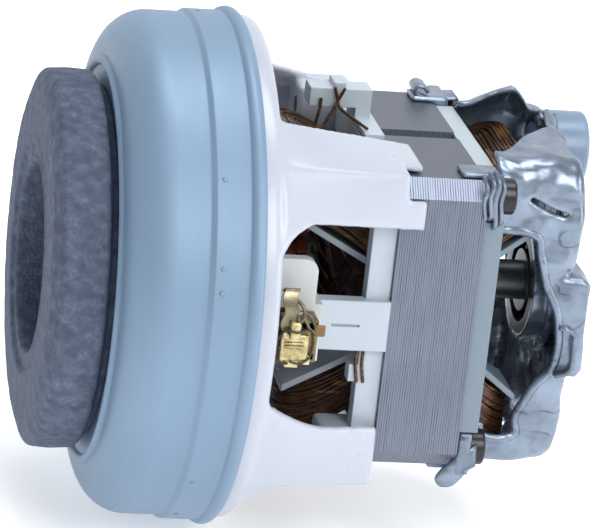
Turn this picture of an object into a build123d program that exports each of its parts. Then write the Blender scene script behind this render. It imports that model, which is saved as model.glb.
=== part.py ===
from build123d import *
from math import cos, degrees, hypot, pi, radians, sin
import os

import numpy as np

# Vacuum cleaner motor unit: a fan in a drawn shroud, driven by a universal motor.
# Millimetres. +X runs along the shaft from the inlet to the rear, +Z is square to the
# stator's top face, and the origin is the centre of the inlet seal's front face.

# Inlet seal, a ring of cellular rubber
seal_height = 13.0
seal_radius = 38.0
seal_bore_radius = 19.0
seal_face_radius = 33.0
seal_bevel_depth = 1.8
seal_recess_radius = 23.0
seal_recess_depth = 0.9
seal_foot_radius = 35.0
seal_foot_height = 2.0

# Shroud, drawn from sheet
sheet = 0.8
shroud_depth = 24.3
neck_radius = 20.0
neck_height = 8.7
drum_radius = 50.4
lip_inset = 10.5
lip_radius = drum_radius - lip_inset
lip_bead_radius = 1.0
shoulder_radius = 8.6
band_rise = 0.7
band_radius = drum_radius + band_rise
band_width = 8.2
band_step = 1.0
bead_rise = 0.9
bead_radius = band_radius + bead_rise
bead_half_width = 1.5

# Impeller, two discs with blades between
impeller_inset = 8.9
impeller_radius = drum_radius - impeller_inset
impeller_disc = 0.8
eye_radius = 18.8
eye_gap = 0.9
eye_collar = 0.5
inlet_width = 11.4
outlet_width = 6.5
blade_count = 9
blade_thickness = 0.8
blade_inner_radius = 17.5
blade_arc_radius = 40.0
blade_inlet_angle = 62.0
hub_washer_radius = 11.0
hub_washer_thickness = 1.2
nut_radius = 6.5
nut_height = 6.0
nut_washer_radius = 7.6
thread_end = 1.4

# Diffuser behind the impeller
diffuser_thickness = 1.8
diffuser_hole_radius = 14.0
diffuser_vane_count = 11
diffuser_vane_length = 19.4
diffuser_vane_inner_radius = drum_radius - diffuser_vane_length
diffuser_vane_thickness = 1.4
diffuser_vane_angle = 45.0

# Motor frame, moulded in one piece
flange_front_gap = 0.5
flange_thickness = 4.6
flange_edge_radius = 1.6
flange_width = 5.9
flange_inner_radius = drum_radius - flange_width
spigot_height = 2.0
spigot_wall = 3.6
hub_wall = 3.0
hub_lip = 1.0
hub_lip_radius = 9.5
spoke_thickness = 4.2
spoke_width = 6.0
spoke_angles = (43, 137, 223, 317)
brush_spoke_width = 13.0
arm_wall = 1.6
arm_foot_wall = 3.2
arm_overhang = 4.7
arm_flare_length = 6.0
arm_flare_angle = 7.0
# Each arm: its side along Y and Z, its angles from Z at the flange, its foot's wall, the
# lengths of its top and side legs at the stack, and how far it reaches past the stack's face
arm_plans = (
    (-1, 1, (37, 49, 61.5), arm_wall, (22.0, 11.2), arm_overhang),
    (1, 1, (45, 57, 69), arm_wall, (11.0, 13.0), arm_overhang / 2),
    (-1, -1, (40, 49, 69), arm_foot_wall, (20.0, 12.4), 0),
    (1, -1, (40, 49, 69), arm_foot_wall, (20.0, 12.4), 0),
)
boss_length = 11.0
boss_half_width = 4.3

# Shaft and its two ball bearings
shaft_radius = 4.0
bearing_radius = 11.0
bearing_width = 7.0
ball_radius = 1.985
ball_count = 7
race_radius = 7.5
race_clearance = 0.03
race_land_share = 0.42
cage_wall = 1.5
cage_width = 2.4
front_bearing_setback = 1.0
bearing_spacing = 65.0

# Commutator
commutator_gap = 1.0
commutator_radius = 12.0
commutator_length = 8.0
bar_count = 24
bar_gap = 0.5
bar_height = 2.3
hook_length = 2.2
hook_rise = 1.4

# Stator stack and armature stack of 0.5 mm sheets
frame_length = 25.05
stack_length = 17.0
stack_half_depth = 32.7
stack_half_height = 29.7
stack_chamfer = 3.4
stack_groove_width = 4.6
stack_groove_depth = 1.6
bore_share = 0.5627
bore_radius = stack_half_depth * bore_share
air_gap = 0.5
side_yoke = 7.2
top_yoke = 7.3
window_half_depth = stack_half_depth - side_yoke
window_half_height = stack_half_height - top_yoke
neck_half_width = 11.2
shoe_thickness = 3.2
shoe_angle = 57.0
slot_count = 12
slot_radius = 2.5
slot_mouth = 1.8
slot_depth_share = 0.70

# Windings
wire_gap = 0.05
armature_wire = 0.6
armature_pitch = 1.15
armature_head_inset = 3.0
armature_head_radius = bore_radius - armature_head_inset
armature_head_length = 9.5
armature_neck_radius = 11.5
head_sides = 8
field_wire = 0.65
field_pitch = 1.38
field_turns = 8
field_margin = 3.5
field_half_width = window_half_depth - field_margin
field_slot_height = 9.7
field_end_height = 18.7
field_front_reach = 17.6
field_rear_reach = 12.9
field_straight = 1.2
field_corner_radius = 8.0
field_bend_radius = 12.0
gap_sample = 0.5

# Insulators on both faces of the stack
insulator_thickness = 3.1
rear_insulator_thickness = 3.9
insulator_edge = 0.9
former_wall = 1.4
former_overlap = 0.5
side_bar_thickness = 4.8
side_bar_depth = 3.8
terminal_arm_depth = 3.2
terminal_arm_half_height = 5.1
terminal_slit_length = 5.6
terminal_slit_width = 0.5
post_size = 3.5
top_lip_length = 4.0
top_lip_depth = 20.0
top_lip_height = 1.2
wire_bridge_length = 9.5
wire_bridge_depth = 6.0
wire_bridge_height = 3.8

# Brush gear, one set on each side
brush_offset = 10.4
brush_width = 5.9
brush_height = 7.3
brush_length = 24.0
brush_slack = 0.05
brush_contact_gap = 0.06
tube_wall = 0.5
tube_inset = 6.4
tube_outer_end = drum_radius - tube_inset
tube_inner_end = 14.8
cap_tab_width = 2.0
cap_face_height = 4.5
cradle_wall = 1.6
cradle_inner_end = 20.0
cradle_inset = 5.5
cradle_outer_end = tube_outer_end - cradle_inset
lug_height = 9.0
lug_thickness = 2.6
spring_wire = 0.45
spring_radius = 2.2
spring_turns = 5
clip_radius = 3.2
clip_sheet = 0.4
clip_width = 5.0
clip_leg = 3.6
pigtail_wire = 1.0
pigtail_lift_share = 1.2
pigtail_bend_share = 1.9

# Rear bracket, pressed from zinc-plated sheet
bracket_sheet = 1.2
bonnet_inset = 8.9
bonnet_rise = 2.3
bonnet_half_width = stack_half_depth - bonnet_inset
bonnet_half_height = stack_half_height + bonnet_rise
bonnet_depth = 22.3
bonnet_corner = 7.0
bonnet_edge = 3.0
rib_half_height = 10.5
rib_depth = 3.2
rib_drop = 1.5
cup_hole_radius = 5.5
cup_flange = 2.2
foot_thickness = 2.9
foot_margin = 0.5
ear_thickness = 1.1
ear_length = 4.8
ear_width = 6.5
slot_length = 8.0
slot_width = 1.0
slot_angle = 20.0
window_shares = ((0.62, 0.51), (0.67, 0.40), (0.88, 0.0), (0.87, -0.32), (0.59, -0.65), (0.60, -0.76))
window_top_share = 0.55
window_bottom_share = -0.77
roof_window_shares = ((0.24, -0.66), (0.84, 0.05), (0.84, 0.60), (0.70, 0.68))

# Rear plug, a moulded buffer on the bracket
plug_radius = 7.65
plug_height = 8.0
plug_edge = 1.0
plug_stem_radius = 3.6
plug_collar_radius = 5.0
plug_collar_height = 1.6
plug_share_y = 0.66
plug_share_z = 0.74

# Screws through the stack's corners
screw_y_share = 0.845
screw_z_share = 0.882
screw_radius = 2.0
screw_head_radius = 3.6
screw_head_height = 3.2
screw_socket_radius = 1.7
screw_socket_depth = 1.6

# Clearances and overruns
seat_gap = 0.05
clear_gap = 0.3
overrun = 5.0

# Places along the shaft
plate_x = seal_height
flange_x = plate_x + shroud_depth
flange_front = flange_x + flange_front_gap
flange_rear = flange_front + flange_thickness
front_bearing_x = flange_x - front_bearing_setback
rear_bearing_x = front_bearing_x + bearing_spacing
commutator_x = front_bearing_x + bearing_width + commutator_gap
hook_x = commutator_x + commutator_length
brush_x = flange_x + brush_offset
stack_front = flange_rear + frame_length
stack_rear = stack_front + stack_length
eye_x = plate_x + sheet + eye_gap
back_disc_x = eye_x + inlet_width
diffuser_x = flange_x - band_width + seat_gap
spigot_front = flange_x - spigot_height
field_front = stack_front - field_front_reach
field_rear = stack_rear + field_rear_reach
bonnet_front = stack_rear + rear_insulator_thickness + seat_gap
bonnet_rear = stack_rear + bonnet_depth
screw_y = stack_half_depth * screw_y_share
screw_z = stack_half_height * screw_z_share
armature_radius = bore_radius - air_gap
frame_radius = drum_radius - sheet / 2
cradle_rear = brush_x + brush_width / 2 + brush_slack + tube_wall + cradle_wall
SIDES = (-1, 1)


def turned(*points):
    """Turns a closed outline of (x, radius) points about the shaft axis."""
    return revolve(make_face(Polyline(*points, close=True)), Axis.X)


def ring(low, high, inner, outer):
    """A ring about the shaft axis, or a disc where the inner radius is zero."""
    return turned((low, inner), (high, inner), (high, outer), (low, outer))


def block(x, y, z):
    """A box between pairs of limits, given in either order."""
    spans = [sorted(pair) for pair in (x, y, z)]
    size = [high - low for low, high in spans]
    centre = [(low + high) / 2 for low, high in spans]
    return Pos(*centre) * Box(*size)


def outline(*points):
    return make_face(Polyline(*points, close=True))


def along_x(sketch, low, high):
    """Extrudes a sketch of (y, z) points along X."""
    return extrude(Plane.YZ.offset(low) * sketch, amount=high - low)


def along_y(sketch, low, high):
    """Extrudes a sketch of (x, z) points along Y."""
    return extrude(Plane.XZ.offset(-low) * sketch, amount=low - high)


def along_z(sketch, low, high):
    """Extrudes a sketch of (x, y) points along Z."""
    return extrude(Plane.XY.offset(low) * sketch, amount=high - low)


def spun(shape, angle):
    return Rot(X=angle) * shape


def spread(shape, count):
    """Copies a shape evenly about the shaft axis."""
    return [spun(shape, 360 * index / count) for index in range(count)]


def rod(low, high, radius, y=0, z=0):
    return Pos(0, y, z) * ring(low, high, 0, radius)


def on_rim(radius, angle, side_y, side_z):
    """A (y, z) point at an angle from the Z axis towards one side."""
    return side_y * radius * sin(radians(angle)), side_z * radius * cos(radians(angle))


def tube(points, radii, diameter):
    path = FilletPolyline(*points, radius=radii)
    profile = Plane(origin=path @ 0, z_dir=path % 0) * Circle(diameter / 2)
    return sweep(profile, path=path), path


def least_gap(path, diameter, turn_length):
    """The least space between stretches of a wound tube that are over half a turn apart."""
    count = int(path.length / gap_sample)
    points = np.array([tuple(path @ (index / count)) for index in range(count + 1)])
    apart = int(turn_length / 2 / gap_sample)
    least = min(
        np.linalg.norm(points[start + apart:] - points[start], axis=1).min()
        for start in range(count - apart)
    )
    return least - diameter


def save(name, shape):
    solids = shape if isinstance(shape, list) else [shape]
    parts = [solid for item in solids for solid in item.solids()]
    whole = parts[0] if len(parts) == 1 else Compound(children=parts)
    whole.label = name
    export_step(whole, os.path.join("parts", name + ".step"))


# Fan end

def inlet_seal_ring():
    back = plate_x
    counterbore = back - neck_height - clear_gap
    neck_fit = neck_radius + sheet + seat_gap
    return turned(
        (seal_recess_depth, seal_bore_radius),
        (0, seal_recess_radius),
        (0, seal_face_radius),
        (seal_bevel_depth, seal_radius),
        (back - seal_foot_height, seal_radius),
        (back - seal_foot_height, seal_foot_radius),
        (back, seal_foot_radius),
        (back, neck_fit),
        (counterbore, neck_fit),
        (counterbore, seal_bore_radius),
    )


def shroud():
    eye = neck_radius + sheet + seat_gap
    shoulder_x = plate_x + shoulder_radius
    shoulder_r = drum_radius - shoulder_radius
    inner_radius = shoulder_radius - sheet
    diagonal = cos(radians(45))
    step_x = flange_x - band_width
    bead_end = flange_x + bead_half_width
    lip_in = lip_radius - lip_bead_radius
    lip_out = lip_radius + lip_bead_radius
    band_in = band_radius - sheet
    drum_in = drum_radius - sheet
    bead_in = band_in + seat_gap
    edges = [
        Line((plate_x, eye), (plate_x, lip_in)),
        ThreePointArc((plate_x, lip_in), (plate_x - lip_bead_radius, lip_radius), (plate_x, lip_out)),
        Line((plate_x, lip_out), (plate_x, shoulder_r)),
        ThreePointArc(
            (plate_x, shoulder_r),
            (shoulder_x - shoulder_radius * diagonal, shoulder_r + shoulder_radius * diagonal),
            (shoulder_x, drum_radius),
        ),
        Polyline(
            (shoulder_x, drum_radius),
            (step_x - band_step, drum_radius),
            (step_x, band_radius),
            (flange_x - bead_half_width, band_radius),
        ),
        ThreePointArc(
            (flange_x - bead_half_width, band_radius), (flange_x, bead_radius), (bead_end, band_radius)
        ),
        Polyline(
            (bead_end, band_radius),
            (bead_end, bead_in),
            (flange_front, bead_in),
            (flange_front, band_in),
            (step_x - seat_gap, band_in),
            (step_x - band_step - seat_gap, drum_in),
            (shoulder_x, drum_in),
        ),
        ThreePointArc(
            (shoulder_x, drum_in),
            (shoulder_x - inner_radius * diagonal, shoulder_r + inner_radius * diagonal),
            (plate_x + sheet, shoulder_r),
        ),
        Polyline((plate_x + sheet, shoulder_r), (plate_x + sheet, eye), (plate_x, eye)),
    ]
    return revolve(make_face([edge for item in edges for edge in item.edges()]), Axis.X)


def inlet_collar():
    """The collar in the shroud's eye that the seal is pushed on."""
    return ring(plate_x - neck_height, plate_x + sheet, neck_radius, neck_radius + sheet)


def front_disc_line(offset):
    """The (x, radius) line of the impeller's front disc, moved back by an offset."""
    rim = (back_disc_x - outlet_width + offset, impeller_radius)
    throat = (eye_x + eye_collar + offset, eye_radius + impeller_disc)
    return rim, throat


def impeller_front_disc():
    rim, throat = front_disc_line(-impeller_disc)
    rim_back, throat_back = front_disc_line(0)
    return turned(
        rim,
        rim_back,
        throat_back,
        (throat_back[0], eye_radius),
        (eye_x - impeller_disc, eye_radius),
        (eye_x - impeller_disc, throat[1]),
        throat,
    )


def impeller_back_disc():
    return ring(back_disc_x, back_disc_x + impeller_disc, shaft_radius, impeller_radius)


def impeller_blades():
    rim, throat = front_disc_line(0)
    room = turned(
        rim,
        (back_disc_x, impeller_radius),
        (back_disc_x, blade_inner_radius),
        (throat[0], blade_inner_radius),
        throat,
    )
    half = blade_thickness / 2
    band = Circle(blade_arc_radius + half) - Circle(blade_arc_radius - half)
    turn = radians(blade_inlet_angle)
    centre = Pos(blade_inner_radius + blade_arc_radius * sin(turn), -blade_arc_radius * cos(turn))
    sheet_band = along_x(centre * band, eye_x, back_disc_x + overrun)
    wedge = block((eye_x, back_disc_x), (0, impeller_radius), (-blade_thickness, impeller_radius))
    blade = (sheet_band & room) & wedge
    return spread(blade.solids()[0], blade_count)


def impeller_hub_washer():
    return ring(back_disc_x - hub_washer_thickness, back_disc_x, shaft_radius, hub_washer_radius)


def shaft_spacer():
    start = back_disc_x + impeller_disc
    return ring(start, front_bearing_x, shaft_radius, shaft_radius + hub_wall)


def nut_washer():
    start = back_disc_x - hub_washer_thickness
    return ring(start - impeller_disc, start, shaft_radius, nut_washer_radius)


def fan_nut():
    start = back_disc_x - hub_washer_thickness - impeller_disc
    body = along_x(RegularPolygon(nut_radius, 6), start - nut_height, start)
    return body - rod(start - nut_height - overrun, start + overrun, shaft_radius)


def diffuser():
    outer = band_radius - sheet - seat_gap
    plate = ring(diffuser_x, diffuser_x + diffuser_thickness, diffuser_hole_radius, outer)
    room = ring(diffuser_x, spigot_front, diffuser_vane_inner_radius, outer)
    half = diffuser_vane_thickness / 2
    middle = (outer + diffuser_vane_inner_radius) / 2
    vane = block((diffuser_x, spigot_front), (-middle, middle), (-half, half))
    vane = Pos(0, middle, 0) * Rot(X=-diffuser_vane_angle) * vane & room
    for copy in spread(vane, diffuser_vane_count):
        plate += copy
    return plate


# Motor frame

def lerp(low, high, share):
    return tuple(a + (b - a) * share for a, b in zip(low, high))


def arm_section(outer, inner, x):
    return Plane.YZ.offset(x) * outline(*outer, *reversed(inner))


def arm_body(side_y, side_z, angles, foot_wall, legs, reach):
    """One arm: a panel that runs from the flange's rim to wrap round the stack's corner."""
    root_inner = frame_radius - arm_wall - seat_gap
    out_y = stack_half_depth + seat_gap
    out_z = stack_half_height + seat_gap
    top_leg, side_leg = legs
    end_outer = [
        (side_y * (out_y + arm_wall - top_leg), side_z * (out_z + foot_wall)),
        (side_y * (out_y + arm_wall), side_z * (out_z + foot_wall)),
        (side_y * (out_y + arm_wall), side_z * (out_z + foot_wall - side_leg)),
    ]
    end_inner = [
        (end_outer[0][0], side_z * out_z),
        (side_y * out_y, side_z * out_z),
        (side_y * out_y, end_outer[2][1]),
    ]

    def root(radius, flare):
        turns = (angles[0], angles[1], angles[2] + flare)
        return [on_rim(radius, angle, side_y, side_z) for angle in turns]

    flared = flange_rear
    settled = flange_rear + arm_flare_length
    end = stack_front + reach
    share = (settled - flared) / (end - flared)
    sections = [
        arm_section(root(frame_radius, arm_flare_angle), root(root_inner, arm_flare_angle), flange_front),
        arm_section(root(frame_radius, arm_flare_angle), root(root_inner, arm_flare_angle), flared),
        arm_section(
            [lerp(a, b, share) for a, b in zip(root(frame_radius, 0), end_outer)],
            [lerp(a, b, share) for a, b in zip(root(root_inner, 0), end_inner)],
            settled,
        ),
        arm_section(end_outer, end_inner, end),
    ]
    return loft(sections, ruled=True)


def arm_boss(side_y, side_z, foot_wall):
    """The block at the arm's end that takes the screw."""
    low = stack_front - boss_length
    wide = (screw_y - boss_half_width, stack_half_depth + arm_wall + seat_gap)
    tall = (screw_z - boss_half_width, stack_half_height + foot_wall)
    body = block(
        (low, stack_front - seat_gap),
        (side_y * wide[0], side_y * wide[1]),
        (side_z * tall[0], side_z * tall[1]),
    )
    place = (side_y * screw_y, side_z * screw_z)
    return body - rod(low - overrun, stack_front + overrun, screw_radius + seat_gap, *place)


def motor_frame():
    outer = drum_radius - seat_gap
    edge = flange_edge_radius
    diagonal = edge * (1 - cos(radians(45)))
    flange_edges = [
        Polyline(
            (flange_rear - edge, outer),
            (flange_front, outer),
            (flange_front, flange_inner_radius),
            (flange_rear, flange_inner_radius),
            (flange_rear, outer - edge),
        ),
        ThreePointArc(
            (flange_rear, outer - edge),
            (flange_rear - diagonal, outer - diagonal),
            (flange_rear - edge, outer),
        ),
    ]
    frame = revolve(make_face([edge for item in flange_edges for edge in item.edges()]), Axis.X)
    spigot_outer = band_radius - sheet - seat_gap
    frame += ring(spigot_front, flange_front + seat_gap, spigot_outer - spigot_wall, spigot_outer)
    hub_outer = bearing_radius + hub_wall
    hub_end = front_bearing_x + bearing_width
    for angle in spoke_angles:
        spoke = block(
            (flange_front, flange_front + spoke_thickness),
            (hub_outer - hub_wall / 2, flange_inner_radius + seat_gap),
            (-spoke_width / 2, spoke_width / 2),
        )
        frame += spun(spoke, angle)
    for side in SIDES:
        frame += block(
            (flange_front, flange_front + spoke_thickness),
            (side * (hub_outer - hub_wall / 2), side * (flange_inner_radius + seat_gap)),
            (-brush_spoke_width / 2, brush_spoke_width / 2),
        )
    frame += ring(front_bearing_x - hub_lip, hub_end, hub_lip_radius, hub_outer)
    frame -= ring(front_bearing_x, hub_end + overrun, 0, bearing_radius)
    for side_y, side_z, angles, foot_wall, legs, reach in arm_plans:
        frame += arm_body(side_y, side_z, angles, foot_wall, legs, reach - seat_gap)
        frame += arm_boss(side_y, side_z, foot_wall)
    notch_y = screw_y
    notch_z = screw_z
    for side in SIDES:
        frame -= block(
            (stack_front + arm_wall / 2, stack_front + arm_overhang + overrun),
            (side * (notch_y - seat_gap), side * (stack_half_depth + overrun)),
            (notch_z - seat_gap, stack_half_height + overrun),
        )
    frame -= block(
        (stack_front - seat_gap, stack_rear),
        (-stack_half_depth - seat_gap, stack_half_depth + seat_gap),
        (-stack_half_height - seat_gap, stack_half_height + seat_gap),
    )
    return frame


# Rotor

def shaft():
    front = back_disc_x - hub_washer_thickness - impeller_disc - nut_height - thread_end
    return ring(front, rear_bearing_x + bearing_width, 0, shaft_radius)


def bearing_rings(start):
    """The outer ring and the inner ring of a ball bearing, with their grooves."""
    middle = start + bearing_width / 2
    groove = Pos(middle, 0, 0) * Rot(Y=90) * Torus(race_radius, ball_radius + race_clearance)
    land = ball_radius * (1 - race_land_share)
    end = start + bearing_width
    outer = ring(start, end, race_radius + land, bearing_radius) - groove
    inner = ring(start, end, shaft_radius, race_radius - land) - groove
    return outer, inner


def ball_set(start):
    middle = start + bearing_width / 2
    ball = Pos(middle, race_radius, 0) * Sphere(ball_radius)
    return spread(ball, ball_count)


def ball_cage(start):
    low = start + bearing_width / 2
    cage = ring(low, low + cage_width, race_radius - cage_wall / 2, race_radius + cage_wall / 2)
    pocket = Pos(low, race_radius, 0) * Sphere(ball_radius + race_clearance)
    for copy in spread(pocket, ball_count):
        cage -= copy
    return cage


def commutator_hub():
    return ring(commutator_x, hook_x + hook_length, shaft_radius, commutator_radius - bar_height)


def commutator_bars():
    inner = commutator_radius - bar_height
    profile = outline(
        (commutator_x, inner),
        (hook_x + hook_length, inner),
        (hook_x + hook_length, commutator_radius + hook_rise),
        (hook_x, commutator_radius + hook_rise),
        (hook_x, commutator_radius),
        (commutator_x, commutator_radius),
    )
    arc = 360 / bar_count - degrees(bar_gap / commutator_radius)
    return spread(revolve(profile, Axis.X, revolution_arc=arc), bar_count)


def armature_core():
    depth = armature_radius * slot_depth_share
    length = armature_radius - depth + slot_mouth
    sketch = Circle(armature_radius) - Circle(shaft_radius)
    slot = Pos(depth, 0) * Circle(slot_radius)
    mouth = Pos(depth + length / 2, 0) * Rectangle(length, slot_mouth)
    for index in range(slot_count):
        sketch -= Rot(Z=360 * index / slot_count) * (slot + mouth)
    return along_x(sketch, stack_front, stack_rear)


def armature_slot_wedges():
    depth = armature_radius * slot_depth_share
    wedge = rod(stack_front, stack_rear, slot_radius - seat_gap, depth)
    return spread(wedge, slot_count)


def head_core(start, direction):
    """The body of an armature winding head, tapered away from the stack."""
    end = start + direction * armature_head_length
    collar = start + direction * armature_head_length / 2
    return turned(
        (start, shaft_radius),
        (end, shaft_radius),
        (end, armature_neck_radius),
        (collar, armature_head_radius),
        (start, armature_head_radius),
    )


def head_winding(start, direction):
    """The outer layer of a winding head: one tube that winds over the straight half."""
    half = armature_head_length / 2
    radius = (armature_head_radius + wire_gap + armature_wire / 2) / cos(pi / head_sides)
    turns = int((half - armature_wire) / armature_pitch)
    points = []
    for index in range(turns * head_sides + 1):
        angle = 2 * pi * index / head_sides
        x = start + direction * (armature_wire + armature_pitch * index / head_sides)
        points.append((x, radius * cos(angle), radius * sin(angle)))
    corner = armature_head_radius * cos(pi / head_sides)
    solid, path = tube(points, corner, armature_wire)
    gap = least_gap(path, armature_wire, 2 * pi * radius)
    print("armature head winding: turns", turns, "least gap", round(gap, 3))
    return solid


# Stator

def stator_core():
    sketch = Rectangle(2 * stack_half_depth, 2 * stack_half_height)
    sketch = chamfer(sketch.vertices(), stack_chamfer)
    inside = Rectangle(2 * window_half_depth, 2 * window_half_height)
    shoe = Circle(bore_radius + shoe_thickness)
    reach = window_half_depth + window_half_height
    for side in SIDES:
        low = on_rim(reach, shoe_angle, 1, side)
        shoe -= outline((0, 0), low, (reach, 0)) + outline((0, 0), (-low[0], low[1]), (-reach, 0))
    inside -= shoe
    inside -= Rectangle(2 * neck_half_width, 2 * window_half_height)
    sketch -= inside
    sketch -= Circle(bore_radius)
    for side in SIDES:
        edge = side * stack_half_height
        sketch -= Pos(0, edge) * Rectangle(stack_groove_width, 2 * stack_groove_depth)
        for side_y in SIDES:
            sketch -= Pos(side_y * screw_y, side * screw_z) * Circle(screw_radius + seat_gap)
    return along_x(sketch, stack_front, stack_rear)


def field_levels(turn):
    """The height of one turn in the slot and at the ends."""
    return field_slot_height + field_pitch * turn, field_end_height + field_pitch * turn


def field_path_points(side):
    bend_front = stack_front - field_straight
    bend_rear = stack_rear + field_straight
    middle = (stack_front + stack_rear) / 2
    near = -field_half_width
    far = field_half_width
    points = [(middle, near, side * field_levels(0)[0])]
    radii = []
    for turn in range(field_turns):
        slot, end = [side * level for level in field_levels(turn)]
        points += [
            (bend_front, near, slot),
            (field_front, near, end),
            (field_front, far, end),
            (bend_front, far, slot),
        ]
        radii += [field_bend_radius, field_corner_radius, field_corner_radius, field_bend_radius]
        if turn < field_turns - 1:
            next_slot, next_end = [side * level for level in field_levels(turn + 1)]
            points += [
                (bend_rear, far, slot),
                (field_rear, far, end),
                (field_rear, near, next_end),
                (bend_rear, near, next_slot),
            ]
            radii += [field_bend_radius, field_corner_radius, field_corner_radius, field_bend_radius]
    points.append((middle, far, side * field_levels(field_turns - 1)[0]))
    return points, radii


def field_winding(side):
    """The outer layer of a field coil: one tube wound round the coil's body."""
    points, radii = field_path_points(side)
    solid, path = tube(points, radii, field_wire)
    turn_length = 2 * (field_rear - field_front) + 4 * field_half_width
    gap = least_gap(path, field_wire, turn_length)
    print("field winding: turns", field_turns, "least gap", round(gap, 3))
    return solid


def slope_band(low_offset, high_offset, side):
    """An (x, z) band that follows the field coil from end to end."""
    slot, end = field_levels(0)
    bend_front = stack_front - field_straight
    bend_rear = stack_rear + field_straight
    line = [(field_front, end), (bend_front, slot), (bend_rear, slot), (field_rear, end)]
    low = [(x, side * (z + low_offset)) for x, z in line]
    high = [(x, side * (z + high_offset)) for x, z in reversed(line)]
    return outline(*low, *high)


def field_coil(side):
    """The body of a field coil round one pole."""
    inset = field_wire / 2 + wire_gap
    half = field_half_width - inset
    front = field_front + inset
    rear = field_rear - inset
    corner = field_corner_radius - inset
    middle = (front + rear) / 2
    plan = Pos(middle, 0) * RectangleRounded(rear - front, 2 * half, corner)
    hole_wall = half - neck_half_width - former_wall
    hole = Rectangle(rear - front - 2 * hole_wall, 2 * (half - hole_wall))
    plan -= Pos(middle, 0) * hole
    reach = field_levels(field_turns)[1] + field_wire
    body = along_z(plan, min(0, side * reach), max(0, side * reach))
    band = slope_band(-field_wire / 2, field_pitch * (field_turns - 1) + field_wire / 2, side)
    body = body & along_y(band, -half, half)
    body -= ring(front - overrun, rear + overrun, 0, bore_radius + seat_gap)
    shoe_radius = bore_radius + shoe_thickness + wire_gap
    return body - ring(stack_front - clear_gap, stack_rear + clear_gap, 0, shoe_radius)


def former(side, front, rear):
    """The former's sloping flange between a field coil and the armature."""
    rise = field_end_height - field_slot_height
    lean = hypot(field_front_reach - field_straight, rise) / (field_front_reach - field_straight)
    top = -(field_wire / 2 + wire_gap) * lean ** 2
    half = field_half_width + former_overlap
    band = along_y(slope_band(top - former_wall, top, side), -half, half)
    room = block((front, rear), (-half, half), (-stack_half_height, stack_half_height))
    return (band & room) - ring(field_front - overrun, field_rear + overrun, 0, bore_radius + seat_gap)


def insulator_plate(low, high, tall_half_depth):
    wide = (stack_half_depth - insulator_edge, screw_z - boss_half_width - seat_gap)
    tall = (tall_half_depth, stack_half_height - insulator_edge / 2)
    sketch = Rectangle(2 * wide[0], 2 * wide[1]) + Rectangle(2 * tall[0], 2 * tall[1])
    opening = field_half_width + field_wire / 2 + wire_gap
    coil_top = field_levels(field_turns - 1)[0] + rear_insulator_thickness
    sketch -= Rectangle(2 * opening, 2 * coil_top)
    return along_x(sketch, low, high)


def front_insulator():
    back = stack_front - seat_gap
    front = back - insulator_thickness
    body = insulator_plate(front, back, screw_y - boss_half_width - clear_gap)
    for side in SIDES:
        body += former(side, field_front, back)
        outer = side * (stack_half_depth - insulator_edge)
        inner = outer - side * side_bar_depth
        body += block(
            (back - side_bar_thickness, back), (inner, outer),
            (-screw_z + boss_half_width + seat_gap, screw_z - boss_half_width - seat_gap),
        )
        arm_outer = side * (stack_half_depth + insulator_edge)
        arm_inner = arm_outer - side * terminal_arm_depth
        arm_front = cradle_rear + seat_gap
        arm = block(
            (arm_front, back - seat_gap), (arm_inner, arm_outer),
            (-terminal_arm_half_height, terminal_arm_half_height),
        )
        arm -= block(
            (arm_front + insulator_thickness, arm_front + insulator_thickness + terminal_slit_length),
            (arm_outer - side * terminal_slit_width, arm_outer + side * overrun),
            (-terminal_slit_width / 2, terminal_slit_width / 2),
        )
        body += arm
        post_z = -2 * post_size - terminal_arm_half_height
        body += block(
            (back - side_bar_thickness - post_size / 2, back - side_bar_thickness + post_size / 2),
            (outer - side * post_size, outer),
            (post_z, post_z + post_size),
        )
    lip_low = stack_half_height + seat_gap
    body += block(
        (front, front + top_lip_length), (-top_lip_depth / 3, 2 * top_lip_depth / 3),
        (lip_low, lip_low + top_lip_height),
    )
    riser_y = (top_lip_depth / 4, top_lip_depth / 4 + wire_bridge_depth)
    bridge_top = lip_low + top_lip_height + wire_bridge_height + wire_bridge_height / 2
    riser_low = stack_half_height - insulator_thickness
    body += block((front, front + insulator_thickness), riser_y, (riser_low, bridge_top))
    bridge_low = bridge_top - wire_bridge_height
    body += block((front - wire_bridge_length, front), riser_y, (bridge_low, bridge_top))
    stub = (front - wire_bridge_length / 2, front - wire_bridge_length / 2 + top_lip_height * 2)
    body += block(stub, riser_y, (bridge_top, bridge_top + top_lip_height))
    return body


def rear_insulator():
    front = stack_rear + seat_gap
    back = stack_rear + rear_insulator_thickness
    body = insulator_plate(front, back, bonnet_half_width - bracket_sheet - clear_gap)
    for side in SIDES:
        body += former(side, front, field_rear)
    return body


# Brush gear

def brush_frame(shape, side):
    """Places brush gear that is drawn towards -Y on either side."""
    return shape if side < 0 else mirror(shape, Plane.XZ)


def brush():
    inner = commutator_radius + brush_contact_gap
    body = block(
        (brush_x - brush_width / 2, brush_x + brush_width / 2), (-inner - brush_length, -inner + overrun),
        (-brush_height / 2, brush_height / 2),
    )
    return body - ring(commutator_x - overrun, hook_x, 0, inner)


def tube_box(extra, low, high):
    half_x = brush_width / 2 + brush_slack + extra
    half_z = brush_height / 2 + brush_slack + extra
    return block((brush_x - half_x, brush_x + half_x), (low, high), (-half_z, half_z))


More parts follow.
